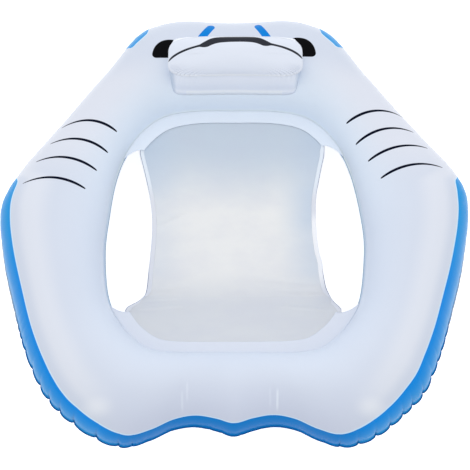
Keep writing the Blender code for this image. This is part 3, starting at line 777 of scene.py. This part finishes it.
def seat_valve(piece, place):
    """Flattens the film under a valve's flange and cuts its hole."""
    back = place.inverted()
    for vert in piece.data.vertices:
        local = back @ vert.co
        reach = math.hypot(local.x, local.y)
        if reach < FLAT_BLEND and abs(local.z) < FLAT_DEPTH:
            t = min(max((FLAT_BLEND - reach) / (FLAT_BLEND - FLAT_RADIUS), 0.0), 1.0)
            local.z += (-FLANGE_SUNK - local.z) * t * t * (3 - 2 * t)
            vert.co = place @ local
    drill = bmesh.new()
    bmesh.ops.create_cone(
        drill, cap_ends=True, segments=HOLE_SIDES, radius1=HOLE_RADIUS, radius2=HOLE_RADIUS,
        depth=DRILL_LENGTH, matrix=place,
    )
    cutter = own_mesh(piece.name + "_drill", drill)
    cut = piece.modifiers.new("hole", "BOOLEAN")
    cut.operation = "DIFFERENCE"
    cut.object = cutter
    shaped = piece.evaluated_get(bpy.context.evaluated_depsgraph_get())
    mesh = bpy.data.meshes.new_from_object(shaped)
    piece.modifiers.clear()
    piece.data = mesh
    bpy.data.objects.remove(cutter)


ring_bottom = ring_film("ring_bottom_film", -1)
bottom_vinyl = Finish("blue_vinyl", specular=0.12)
inward = bottom_vinyl.attribute("inward").step(0.05, 0.9)
bottom_vinyl.paint("Base Color", bottom_vinyl.mix(inward, BOTTOM_BLUE, BOTTOM_INNER_BLUE))
film_gloss(bottom_vinyl)
ring_bottom.data.materials.append(bottom_vinyl.material)
seat_valve(ring_bottom, valve_place("ring"))
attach(ring_bottom, "lounger")
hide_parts("ring_bottom_skin")


# Head pillow, side wall: one band of white film welded by its foot to the ring's crest, leaning out to a lip
# round its top. It bulges a little between the two welds and gathers in short tucks at its front corners.
PILLOW_MIDDLE = 0.003
PILLOW_HALF_WIDTH = 0.184
PILLOW_FRONT = 0.3745
PILLOW_BACK = 0.476
PILLOW_TOP_FRONT = 0.305
PILLOW_TOP_BACK = 0.342
# How square the outlines are, in front and behind, and how far the front's middle is drawn in
PILLOW_SQUARENESS = (5, 3.8)
PILLOW_PULL = 6.0 * MM
PULL_HALF_WIDTH = 0.150
FOOT_HALF_WIDTH = 0.171
FOOT_SHIFT = 2 * MM
FOOT_FRONT = 0.3675
FOOT_SWEEP = 0.006
FOOT_BACK = 0.495
FOOT_SQUARENESS = (14, 14)
FOOT_SUNK = 0.4 * MM
FOOT_LIP = 8 * MM
LIP_SUNK = 0.2 * MM
# The foot's lip is painted as a light line in front, a painted highlight, so far aside and up to this line
WELD_IN_SIGHT = 0.135
WELD_LINE = FOOT_BACK - 0.1
WELD_ROWS = 3
FOOT_COVE = 5 * MM
PILLOW_LIP = 5 * MM
END_LIP = 1.5 * MM
PILLOW_ROUND = 864
WALL_ROWS = 22
WALL_BULGE = 6 * MM
COVE_HEIGHT = 0.16
# The tucks: how many there would be all round, how deep, and from where up the wall. The corners that have
# them are told by how far out the pillow's outline lies when it is drawn 2 by 2
TUCKS = 118
TUCK_DEPTH = 2.2 * MM
TUCK_START = 0.35
TUCK_GAIN = 1.5
CORNER_START = 1.06
CORNER_FADE = 0.12


def pillow_outline(i, half_width, front, back, squareness, scale=1.0, sweep=0.0, pull=0.0):
    """Point i of a rounded oblong seen from above, anticlockwise from its right-hand end.

    At the front, sweep draws its corners on and pull draws its middle in.
    """
    turn = math.tau * i / PILLOW_ROUND
    across, along = math.cos(turn), math.sin(turn)
    power = squareness[0] if along < 0 else squareness[1]
    reach = (abs(across) ** power + abs(along) ** power) ** (-1 / power)
    x = half_width * scale * reach * across
    y = (front + back) / 2 + (back - front) / 2 * scale * reach * along
    if along < 0:
        y -= sweep * (x / half_width) ** 4
        y += pull * scale**4 * max(0.0, 1 - (x / PULL_HALF_WIDTH) ** 2)
    return Vector((x + PILLOW_MIDDLE, y))


def pillow_seam(i, scale=1.0):
    """Point i of the top seam, or of the same outline drawn small towards its middle."""
    outline = (PILLOW_HALF_WIDTH, PILLOW_FRONT, PILLOW_BACK, PILLOW_SQUARENESS)
    return pillow_outline(i, *outline, scale, pull=PILLOW_PULL)


def outward(i):
    """Square off the top seam at point i, seen from above."""
    along = pillow_seam(i + 1) - pillow_seam(i - 1)
    return Vector((along.y, -along.x)).normalized()


def pillow_height(y):
    """The top seam lies in one plane that rises to the back."""
    share = (y - PILLOW_FRONT) / (PILLOW_BACK - PILLOW_FRONT)
    return PILLOW_TOP_FRONT + (PILLOW_TOP_BACK - PILLOW_TOP_FRONT) * share


def ring_height(x, y):
    """How high the ring's top film is there."""
    column = Column(math.degrees(math.atan2(y, x)), 0.0)
    share = min(max((math.hypot(x, y) - column.middle) / column.reach, -1.0), 1.0)
    turn = math.degrees(math.acos(share))
    return column.at(turn, 1, out=film_slack(column, turn)).z


def lip_width(i):
    """The top seam's lip stands out in front and lies close to the film round the ends and the back."""
    share = min(max(-0.1 - math.sin(math.tau * i / PILLOW_ROUND) * 2.0, 0.0), 1.0)
    return END_LIP + (PILLOW_LIP - END_LIP) * share


def tucked(i):
    """How far the seam is drawn in at point i: only at the front corners, tuck by tuck."""
    spot = pillow_outline(i, 1.0, -1.0, 1.0, PILLOW_SQUARENESS)
    corner = min(1.0, max(0.0, (spot.length - CORNER_START) / CORNER_FADE)) if spot.y < 0 else 0.0
    uneven = 0.9 * math.sin(math.tau * 10 * i / PILLOW_ROUND)
    wave = abs(math.sin(math.pi * TUCKS * i / PILLOW_ROUND + uneven))
    return TUCK_DEPTH * corner * (1 - wave) ** 1.6


def pillow_wall_point(i, t):
    """A point on the wall, t from 0 at the foot to 1 at the top seam."""
    foot = pillow_outline(i, FOOT_HALF_WIDTH, FOOT_FRONT, FOOT_BACK, FOOT_SQUARENESS, sweep=FOOT_SWEEP)
    head = pillow_seam(i)
    foot.x -= FOOT_SHIFT
    low = Vector((*foot, ring_height(*foot) - FOOT_SUNK))
    high = Vector((*head, pillow_height(head.y)))
    away = outward(i)
    out = WALL_BULGE * math.sin(math.pi * t) ** 0.8 - tucked(i) * max(0.0, t - TUCK_START) ** 1.5 * TUCK_GAIN
    out += FOOT_COVE * max(0.0, 1 - t / COVE_HEIGHT) ** 2
    return low.lerp(high, t) + Vector((away.x * out, away.y * out, 0.0))


wall_top = WALL_ROWS + 2
wall_shape, (welded,), cells = cut_film(PILLOW_ROUND, wall_top, "welded")
for vert, i, row in cells:
    i = i % PILLOW_ROUND
    if row == 0:
        spot = pillow_wall_point(i, 0.0).xy + outward(i) * (FOOT_LIP - FOOT_COVE)
        vert.co = Vector((*spot, ring_height(*spot) - LIP_SUNK))
    elif row == wall_top:
        spot = pillow_wall_point(i, 1.0).xy + outward(i) * (lip_width(i) - tucked(i))
        vert.co = Vector((*spot, pillow_height(spot.y)))
    else:
        vert.co = pillow_wall_point(i, (row - 1) / WALL_ROWS)
    in_sight = vert.co.y < WELD_LINE and abs(vert.co.x) < WELD_IN_SIGHT
    vert[welded] = 1.0 if row < WELD_ROWS and in_sight else 0.0
pillow_wall = weld_film("pillow_wall_film", wall_shape, Vector((1.0, 0.0, 0.0)))

# Painted light: the wall's white and its foot lip are lighter than the ring's same film, the lip a painted
# highlight
WALL_LIT_WHITE = (0.860, 0.905, 1.000)
LIP_HIGHLIGHT_WHITE = (0.900, 0.940, 1.000)
# Painted shade where the wall turns away from the light at its front corners
WALL_END_SHADE = (0.400, 0.520, 0.680)
WALL_END_SHARE = 0.6
WALL_END_SIDES = (0.162, 0.178)
WALL_END_LINE = (0.42, 0.39)
pillow_vinyl = Finish("pillow_vinyl", specular=0.12)
x, y, z = pillow_vinyl.place()
at_foot = pillow_vinyl.attribute("welded").step(0.2, 0.8)
turned = abs(x - PILLOW_MIDDLE).step(*WALL_END_SIDES) * y.step(*WALL_END_LINE) * WALL_END_SHARE
wall_tone = pillow_vinyl.layered(WALL_LIT_WHITE, (at_foot, LIP_HIGHLIGHT_WHITE), (turned, WALL_END_SHADE))
pillow_vinyl.paint("Base Color", wall_tone)
film_gloss(pillow_vinyl)
pillow_wall.data.materials.append(pillow_vinyl.material)
seat_valve(pillow_wall, valve_place("pillow"))
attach(pillow_wall, "lounger")
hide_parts("pillow_side_wall")


# Head pillow, top panel: an oblong of the same white film, printed with the mouth line, welded round its edge
# to the wall's lip and blown up into a full crown.
CROWN_RINGS = 40
CROWN = 0.022
CROWN_FLATNESS = 2.2
CROWN_FULLNESS = 0.75
# How closely the rings follow each other to the seam, and how fast a tuck dies away from there
RING_SPACING = 1.25
TUCK_RUN = 3.2
TUCK_DIP = 1.4
TUCK_DIP_RUN = 2.6
TOP_LIFT = 0.3 * MM + 2 * FILM

crown_shape, (lip,), cells = cut_film(PILLOW_ROUND, CROWN_RINGS + 1, "lip")
for vert, i, row in cells:
    i = i % PILLOW_ROUND
    if row == 0:
        spot = pillow_seam(i) + outward(i) * (lip_width(i) - tucked(i))
        rise = 0.0
        vert[lip] = 1.0
    else:
        t = (row - 1) / CROWN_RINGS
        scale = 1.0 - t**RING_SPACING
        spot = pillow_seam(i, scale)
        spot -= outward(i) * tucked(i) * max(0.0, 1.0 - t * TUCK_RUN) ** 1.5
        rise = CROWN * (1 - scale**CROWN_FLATNESS) ** CROWN_FULLNESS
        rise = max(0.0, rise - tucked(i) * TUCK_DIP * max(0.0, 1.0 - t * TUCK_DIP_RUN))
    vert.co = Vector((*spot, pillow_height(spot.y) + TOP_LIFT + rise))
pillow_top = weld_film("pillow_top_film", crown_shape, Vector((0.0, 0.0, 1.0)))

# The mouth by its distance from the pillow's middle: where its line runs and half its width, both in metres.
# It is printed a little askew.
MOUTH_SPAN = 0.20
MOUTH_TILT = 0.020
MOUTH_LINE = (
    (0.0, 0.4655), (0.030, 0.4650), (0.050, 0.4630), (0.065, 0.4588), (0.078, 0.4530), (0.087, 0.4500),
    (0.096, 0.4480), (0.106, 0.4462), (0.139, 0.4385), (0.1665, 0.4285), (0.182, 0.4190), (0.190, 0.4120),
)
MOUTH_HALF = (
    (0.0, 0.0100), (0.045, 0.0106), (0.060, 0.0110), (0.072, 0.0111), (0.080, 0.0098), (0.088, 0.0076),
    (0.095, 0.0050), (0.102, 0.0034), (0.150, 0.0034), (0.180, 0.0034), (0.188, 0.0),
)
# The two curves hold values from 0 to 1, so each is kept there from a base and by a scale
LINE_BASE = 0.40
LINE_SCALE = 0.08
HALF_SCALE = 0.012
MOUTH_GREY = (0.024, 0.027, 0.038)
# The pillow's white is lighter than the ring's same film, as painted light
PILLOW_LIT_WHITE = (0.765, 0.815, 0.920)
# The lip is lighter in front, a painted highlight, as far aside as these shares of the mouth's span
FRONT_LIP_LINE = (0.400, 0.385)
FRONT_LIP_ASIDE = (0.86, 0.66)
top_vinyl = Finish("pillow_print", specular=0.12)
x, y, z = top_vinyl.place()
x = x - PILLOW_MIDDLE
aside = (abs(x) / MOUTH_SPAN).clipped()
line_points = [(spot / MOUTH_SPAN, (value - LINE_BASE) / LINE_SCALE) for spot, value in MOUTH_LINE]
half_points = [(spot / MOUTH_SPAN, value / HALF_SCALE) for spot, value in MOUTH_HALF]
line_points.append((1.0, line_points[-1][1]))
half_points.append((1.0, 0.0))
line = top_vinyl.node("ShaderNodeFloatCurve", {"points": line_points}, {"Value": aside})
half = top_vinyl.node("ShaderNodeFloatCurve", {"points": half_points}, {"Value": aside})
away_from = abs(y - (line * LINE_SCALE + LINE_BASE + x * MOUTH_TILT))
mouth = ((half * HALF_SCALE - away_from) / PRINT_EDGE).clipped()
front_lip_highlight = top_vinyl.attribute("lip") * y.step(*FRONT_LIP_LINE) * aside.step(*FRONT_LIP_ASIDE)
top_tone = top_vinyl.layered(PILLOW_LIT_WHITE, (front_lip_highlight, LIP_HIGHLIGHT_WHITE), (mouth, MOUTH_GREY))
top_vinyl.paint("Base Color", top_tone)
film_gloss(top_vinyl)
pillow_top.data.materials.append(top_vinyl.material)
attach(pillow_top, "lounger")
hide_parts("pillow_top_panel")


# Rim bands: two strips of doubled white film welded along the inner seam, one at the head and one at the
# tail, that the seat hangs from. They slope down to the seat.
BAND_FILM = 0.6 * MM
BAND_TUCK = 9 * MM
BAND_STANDOFF = 0.8 * MM
BAND_CURL = 5.5 * MM
BAND_END_BOW = 1.8
# A bead along the inner edge: its height, where it runs and its half width, as shares of the band's width
BAND_BEAD = 0.6 * MM
BEAD_PLACE = 0.965
BEAD_HALF = 0.03
BAND_RIPPLE = 0.5 * MM
RIPPLE_WAVES = 40.0
BAND_GAP = 0.3 * MM
BAND_COLUMNS = 200
BAND_ROWS = 36


class Band:
    """A band: its middle direction, two ends, the seat's corner under it, its slope, its curl and its widths.

    Each end runs from a direction at the ring's seam to another at the band's inner corner. The widths are in
    mm by direction, for each half.
    """

    def __init__(self, middle, right_end, left_end, seat_corner, fall, curl, widths):
        self.middle = middle
        self.right_end = right_end
        self.left_end = left_end
        self.seat_half = abs(middle - seat_corner)
        self.fall = fall
        self.curl = curl
        self.widths = widths

    def width(self, degrees):
        """It is widest round the corners of the hole."""
        half, side = folded_back(degrees)
        return curved(self.widths[0] if side > 0 else self.widths[1], half) * MM

    def ends(self, share):
        """The directions of its two ends, each cut in a curve, that share of the way to the inner edge."""
        turned = 1 - (1 - share) ** BAND_END_BOW
        right = self.right_end[0] + (self.right_end[1] - self.right_end[0]) * turned
        left = self.left_end[0] + (self.left_end[1] - self.left_end[0]) * turned
        return right, 2 * self.middle - left

    def height(self, amount):
        """Its top face: level on the ring's lip, then falling to the seat, its outer edge curled up."""
        on_lip = SEAM_HEIGHT + FILM_PARTING + BAND_GAP + BAND_FILM
        curled = max(0.0, 1 - amount / BAND_CURL)
        return on_lip - self.fall * max(0.0, amount - WELD_LIP - MM) + self.curl * curled**2


REAR_WIDTHS = (
    ((30, 35.0), (45, 35.6), (60, 34.9), (76, 33.9), (90, 33.6)),
    ((30, 36.6), (41, 37.5), (50, 38.2), (60, 37.0), (68, 35.4), (76, 34.2), (90, 33.6)),
)
FRONT_WIDTHS = (
    (
        (-90, 36.0), (-76, 37.0), (-68, 39.5), (-63, 42.7), (-57, 48.0), (-50, 47.5), (-43.5, 47.6),
        (-30, 46.0),
    ),
    ((-90, 36.0), (-76, 36.3), (-65, 38.2), (-57, 42.2), (-50.4, 40.5), (-43.6, 40.5), (-30, 38.0)),
)
REAR_BAND = Band(90.0, (32.2, 42.5), (31.2, 39.9), 40.0, 0.20, 5 * MM, REAR_WIDTHS)
FRONT_BAND = Band(-90.0, (-34.0, -41.4), (-35.2, -40.6), -40.0, 0.40, 2 * MM, FRONT_WIDTHS)


def seam_inset(degrees, amount):
    """A point in the hole, that far square off the inner seam."""
    spots = []
    for turn in (degrees - 0.5, degrees, degrees + 0.5):
        way = Vector((math.cos(math.radians(turn)), math.sin(math.radians(turn))))
        spots.append(way * crossing(inner_line, turn))
    tangent = spots[2] - spots[0]
    return spots[1] + Vector((-tangent.y, tangent.x)).normalized() * amount


def band_film(name, band):
    """One band, laid along the seam."""
    shape, _, cells = cut_film(BAND_COLUMNS, BAND_ROWS)
    for vert, _, _ in cells:
        t, s = vert.co.x + 0.5, vert.co.y + 0.5
        right, left = band.ends(s)
        degrees = right + (left - right) * t
        amount = BAND_STANDOFF + (band.width(degrees) - BAND_STANDOFF) * s
        flat = seam_inset(degrees, amount)
        spot = Vector((flat.x * RIPPLE_WAVES, flat.y * RIPPLE_WAVES, 3.0))
        ripple = BAND_RIPPLE * noise.noise(spot) * math.sin(math.pi * s)
        bead = BAND_BEAD * math.exp(-(((s - BEAD_PLACE) / BEAD_HALF) ** 2))
        vert.co = Vector((flat.x, flat.y, band.height(amount) + ripple + bead))
    return weld_film(name, shape, Vector((0.0, 0.0, 1.0)), BAND_FILM)


def edging_grain(finish):
    """The fine grain of the bands and hems."""
    finish.bump(finish.grain(140.0), 0.08, 0.5 * MM)


# The band at the head is lighter than the one at the tail, as painted light
TAIL_BAND_WHITE = (0.720, 0.765, 0.865)
HEAD_BAND_LIT_WHITE = (0.790, 0.870, 0.980)
band_vinyl = Finish("band_vinyl")
x, y, z = band_vinyl.place()
band_vinyl.paint("Base Color", band_vinyl.mix(y.step(-0.1, 0.1), TAIL_BAND_WHITE, HEAD_BAND_LIT_WHITE))
edging_grain(band_vinyl)
rear_band = band_film("rear_band_film", REAR_BAND)
front_band = band_film("front_band_film", FRONT_BAND)
for strip, node in ((rear_band, "rear_rim_band"), (front_band, "front_rim_band")):
    strip.data.materials.append(band_vinyl.material)
    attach(strip, "lounger")
    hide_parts(node)


# Seat: one sheet of greyer film, hung from the two bands and stretched by the tubes, so its free sides draw
# in. It hangs lowest near the tail, with a fold line there and tension wrinkles that run in from its corners.
SEAT_LINE = -0.180
SEAT_HEIGHT = 0.030
SEAT_EDGE_LIFT = 0.016
SEAT_HALF_WIDTH = 0.262
SEAT_WAIST = 0.2315
WAIST_LINE = -0.010
HEM_WIDTH = 0.013
HEM_GAP = 0.5 * MM
BAND_CLEAR = 2 * MM
UNDER_BAND = 1.6 * MM
TUCKED_SHARE = 0.95
# How far each run hangs below a straight line, as a share of its fall
BACK_SAG = 0.4
RISE_SAG = 0.3
SEAT_COLUMNS = 120
BACK_ROWS = 96
RISE_ROWS = 52
# How far each free side stands out from an even line, in mm, by its place along the seat
LEFT_SIDE = (
    (-0.246, 11.0), (-0.229, 12.8), (-0.201, -3.4), (-0.177, -10.3), (-0.160, -9.6), (-0.143, -7.1),
    (-0.109, -2.3), (-0.076, 0.1), (-0.042, 1.4), (0.025, 2.9), (0.058, 4.5), (0.092, 7.3), (0.125, 10.6),
    (0.158, 13.3), (0.200, 15.6), (0.219, 14.8), (0.232, 8.0),
)
RIGHT_SIDE = (
    (-0.246, 11.6), (-0.229, 11.9), (-0.201, 7.4), (-0.177, 6.3), (-0.160, 3.4), (-0.143, 3.8), (-0.109, 6.2),
    (-0.0925, 8.3), (-0.074, 7.2), (-0.063, 5.2), (-0.042, 4.0), (-0.009, 2.5), (0.010, 2.3), (0.028, 1.6),
    (0.075, 0.2), (0.108, 0.1), (0.135, 1.9), (0.190, 3.0), (0.207, 2.7), (0.223, -0.5),
)
# The sides' unevenness reaches in from this share of the half width, and is whole so much farther out
SIDE_START = 0.3
SIDE_FADE = 0.6
# Each crease: its two ends, half width and height
SEAT_CREASES = (
    ((-0.236, 0.006), (-0.120, 0.062), 4 * MM, -2.2 * MM),
    ((0.250, -0.150), (0.060, -0.128), 4 * MM, 1.8 * MM),
    ((0.262, -0.172), (0.110, -0.160), 4 * MM, 1.8 * MM),
    ((0.285, -0.235), (0.120, -0.208), 5 * MM, 1.8 * MM),
    ((-0.262, -0.168), (-0.110, -0.150), 4 * MM, 1.6 * MM),
    ((-0.285, -0.232), (-0.130, -0.205), 5 * MM, 1.8 * MM),
    ((-0.270, -0.205), (-0.150, -0.190), 4 * MM, -1.4 * MM),
)


def side_shift(u, y):
    """How far line u of the seat is shifted sideways there."""
    share = min(max((abs(u) - SIDE_START) / SIDE_FADE, 0.0), 1.0)
    out = curved(LEFT_SIDE if u < 0 else RIGHT_SIDE, y)
    return math.copysign(share * share * (3 - 2 * share), u) * out * MM


def seat_end(u, band, past):
    """Where the seat's lengthwise line u passes that far beyond the band's inner edge, under the band."""
    share = u * (TUCKED_SHARE if past < 0 else 1.0)
    degrees = band.middle - math.copysign(band.seat_half, band.middle) * share
    amount = band.width(degrees) + past
    flat = seam_inset(degrees, amount)
    return Vector((flat.x, flat.y, band.height(amount) - BAND_FILM - UNDER_BAND))


def seat_lines(u):
    """Points of the seat's top face from the rear band to the front one, along line u from -1 to 1."""
    tucked_in = seat_end(u, REAR_BAND, -BAND_TUCK)
    start = seat_end(u, REAR_BAND, BAND_CLEAR)
    low = Vector((u * SEAT_HALF_WIDTH, SEAT_LINE, SEAT_HEIGHT + SEAT_EDGE_LIFT * u * u))
    stop = seat_end(u, FRONT_BAND, BAND_CLEAR)
    points = [tucked_in]
    waist = (start.y - WAIST_LINE) / (start.y - low.y)
    pull = u * SEAT_WAIST - (start.x + (low.x - start.x) * waist)
    for i in range(BACK_ROWS):
        t = i / BACK_ROWS
        draw_in = t * (1 - t) / (waist * (1 - waist))
        x = start.x + (low.x - start.x) * t + pull * draw_in
        z = start.z + (low.z - start.z) * t * (1 + BACK_SAG * (1 - t))
        points.append(Vector((x, start.y + (low.y - start.y) * t, z)))
    for i in range(RISE_ROWS + 1):
        t = i / RISE_ROWS
        z = low.z + (stop.z - low.z) * t * (1 - RISE_SAG * (1 - t))
        points.append(Vector((*low.lerp(stop, t).xy, z)))
    points.append(seat_end(u, FRONT_BAND, -BAND_TUCK))
    for point in points:
        point.x += side_shift(u, point.y)
    return points


def seat_wrinkles(point):
    """Lift of the stretched film at its creases."""
    lift = 0.0
    for (ax, ay), (bx, by), width, height in SEAT_CREASES:
        run = Vector((bx - ax, by - ay))
        there = Vector((point.x - ax, point.y - ay))
        t = there.dot(run) / run.length_squared
        if 0.0 < t < 1.0:
            off = (there - run * t).length
            lift += height * (4 * t * (1 - t)) ** 0.7 * math.exp(-((off / width) ** 2))
    return lift


seat_rows = BACK_ROWS + RISE_ROWS + 2
seat_shape, (beside,), cells = cut_film(SEAT_COLUMNS, seat_rows, "beside")
lines = [seat_lines(2 * i / SEAT_COLUMNS - 1) for i in range(SEAT_COLUMNS + 1)]
for vert, i, row in cells:
    vert[beside] = abs(2 * i / SEAT_COLUMNS - 1)
    spot = lines[i][row]
    vert.co = spot + Vector((0.0, 0.0, seat_wrinkles(spot) if 1 < row < seat_rows - 1 else 0.0))
seat = weld_film("seat_film", seat_shape, Vector((0.0, 0.0, 1.0)))

# Painted shade: the seat is darker where it rises at the back and in front, and along its sides
SEAT_MIDDLE = (0.860, 0.865, 0.862)
SEAT_FAR_SHADE = (0.575, 0.660, 0.760)
SEAT_NEAR_SHADE = (0.705, 0.730, 0.770)
SEAT_SIDE_SHADE = (0.500, 0.620, 0.780)
SEAT_SHADE = (0.560, 0.580, 0.720)
# How strongly the sides darken: all along the back, more at its rear and on its right, and most at one place
# on the right
SIDE_DARK = 0.22
REAR_DARK = 0.26
RIGHT_DARK = 0.22
MOTTLE_SHARE = 0.12
seat_vinyl = Finish("seat_vinyl")
x, y, z = seat_vinyl.place()
far = (y + seat_vinyl.grain(6.0) * 0.05).step(0.06, 0.28)
near = (0.0 - y).step(0.08, 0.22)
aside = seat_vinyl.attribute("beside").step(0.45, 0.98)
mottle = seat_vinyl.grain(14.0, 3.0, 0.6, stretch=(0.6, 1.0, 1.0)).step(0.38, 0.66)
to_rear = y.step(0.06, 0.16).at_least(x.step(-0.10, 0.10))
on_right = x.step(0.0, 0.1) * y.step(-0.02, 0.04) * y.step(0.16, 0.10)
weight = (to_rear * REAR_DARK + SIDE_DARK) * y.step(-0.17, -0.10) + on_right * RIGHT_DARK
tone = seat_vinyl.layered(
    SEAT_MIDDLE,
    (far, SEAT_FAR_SHADE),
    (near, SEAT_NEAR_SHADE),
    (mottle * MOTTLE_SHARE, SEAT_SHADE),
    (aside * weight, SEAT_SIDE_SHADE),
)
seat_vinyl.paint("Base Color", tone)
seat_vinyl.paint("Roughness", 0.38 + seat_vinyl.grain(9.0, 3.0) * 0.12)
seat_vinyl.bump(seat_vinyl.grain(60.0, 3.0), 0.10, 0.8 * MM)
seat.data.materials.append(seat_vinyl.material)
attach(seat, "lounger")
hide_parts("seat_sling")


# Seat hems: a narrow strip of white film welded down each free side of the seat. It runs out to almost
# nothing where the seat turns up to the tail, and widens again to the band.
HEM_COLUMNS = 8
# Where the hem narrows, over what length, how far, and how wide it is from there to the tail
HEM_TURN = -0.192
HEM_TURN_REACH = 0.014
HEM_NARROWS = 0.8
HEM_FRONT_SHARE = 0.7
# The columns past this one are its outer edge, which is dark at the rear and in front
RIM_COLUMN = 6
RIM_SHARE = 0.75
# Painted light and shade on the hem: lighter on the right and at the rear, and its outer edge darker at the
# rear and in front
HEM_WHITE = (0.760, 0.785, 0.855)
HEM_LIT = (0.960, 0.970, 1.000)
HEM_REAR_LIT = (0.820, 0.890, 0.970)
HEM_RIM_SHADE = (0.300, 0.330, 0.430)
hem_vinyl = Finish("hem_vinyl")
x, y, z = hem_vinyl.place()
lit = y.step(0.06, 0.02) * y.step(-0.17, -0.12) * x.step(0.0, 0.1)
at_rear = y.step(0.08, 0.15)
rim_shade = hem_vinyl.attribute("rim") * y.step(0.08, 0.14).at_least(y.step(-0.09, -0.13)) * RIM_SHARE
hem_tone = hem_vinyl.layered(HEM_WHITE, (lit, HEM_LIT), (at_rear, HEM_REAR_LIT), (rim_shade, HEM_RIM_SHADE))
hem_vinyl.paint("Base Color", hem_tone)
edging_grain(hem_vinyl)
for side, name, node in ((-1, "left_hem_film", "sling_hem_left"), (1, "right_hem_film", "sling_hem_right")):
    hem_shape, (rim,), cells = cut_film(HEM_COLUMNS, seat_rows, "rim")
    inner, outer = seat_lines(side * (1 - HEM_WIDTH / SEAT_WAIST)), seat_lines(side)
    for vert, i, row in cells:
        wide = 1 - HEM_NARROWS * math.exp(-(((outer[row].y - HEM_TURN) / HEM_TURN_REACH) ** 2))
        wide = min(wide, HEM_FRONT_SHARE) if outer[row].y < HEM_TURN else wide
        spot = outer[row].lerp(inner[row], wide * (1 - i / HEM_COLUMNS))
        vert[rim] = 1.0 if i > RIM_COLUMN else 0.0
        vert.co = spot + Vector((0.0, 0.0, seat_wrinkles(spot) + HEM_GAP + FILM))
    hem = weld_film(name, hem_shape, Vector((0.0, 0.0, 1.0)))
    hem.data.materials.append(hem_vinyl.material)
    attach(hem, "lounger")
    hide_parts(node)


# Air valves: clear soft vinyl mouldings, one in the ring behind the head and one in the back of the pillow.
# Each is a welded flange with its cup, a blow tube that pushes in flush, a strapped plug and a check flap.
CLEAR_VINYL = (0.780, 0.805, 0.840)
valve_vinyl = Finish("valve_vinyl")
valve_vinyl.paint("Base Color", CLEAR_VINYL)
valve_vinyl.paint("Roughness", 0.22 + valve_vinyl.grain(90.0) * 0.12)
for prefix in ("ring_valve", "pillow_valve"):
    for part in ("flange", "stem", "plug", "flap"):
        node = frame["nodes"][f"{prefix}_{part}"]
        for slot in node.material_slots:
            slot.material = valve_vinyl.material
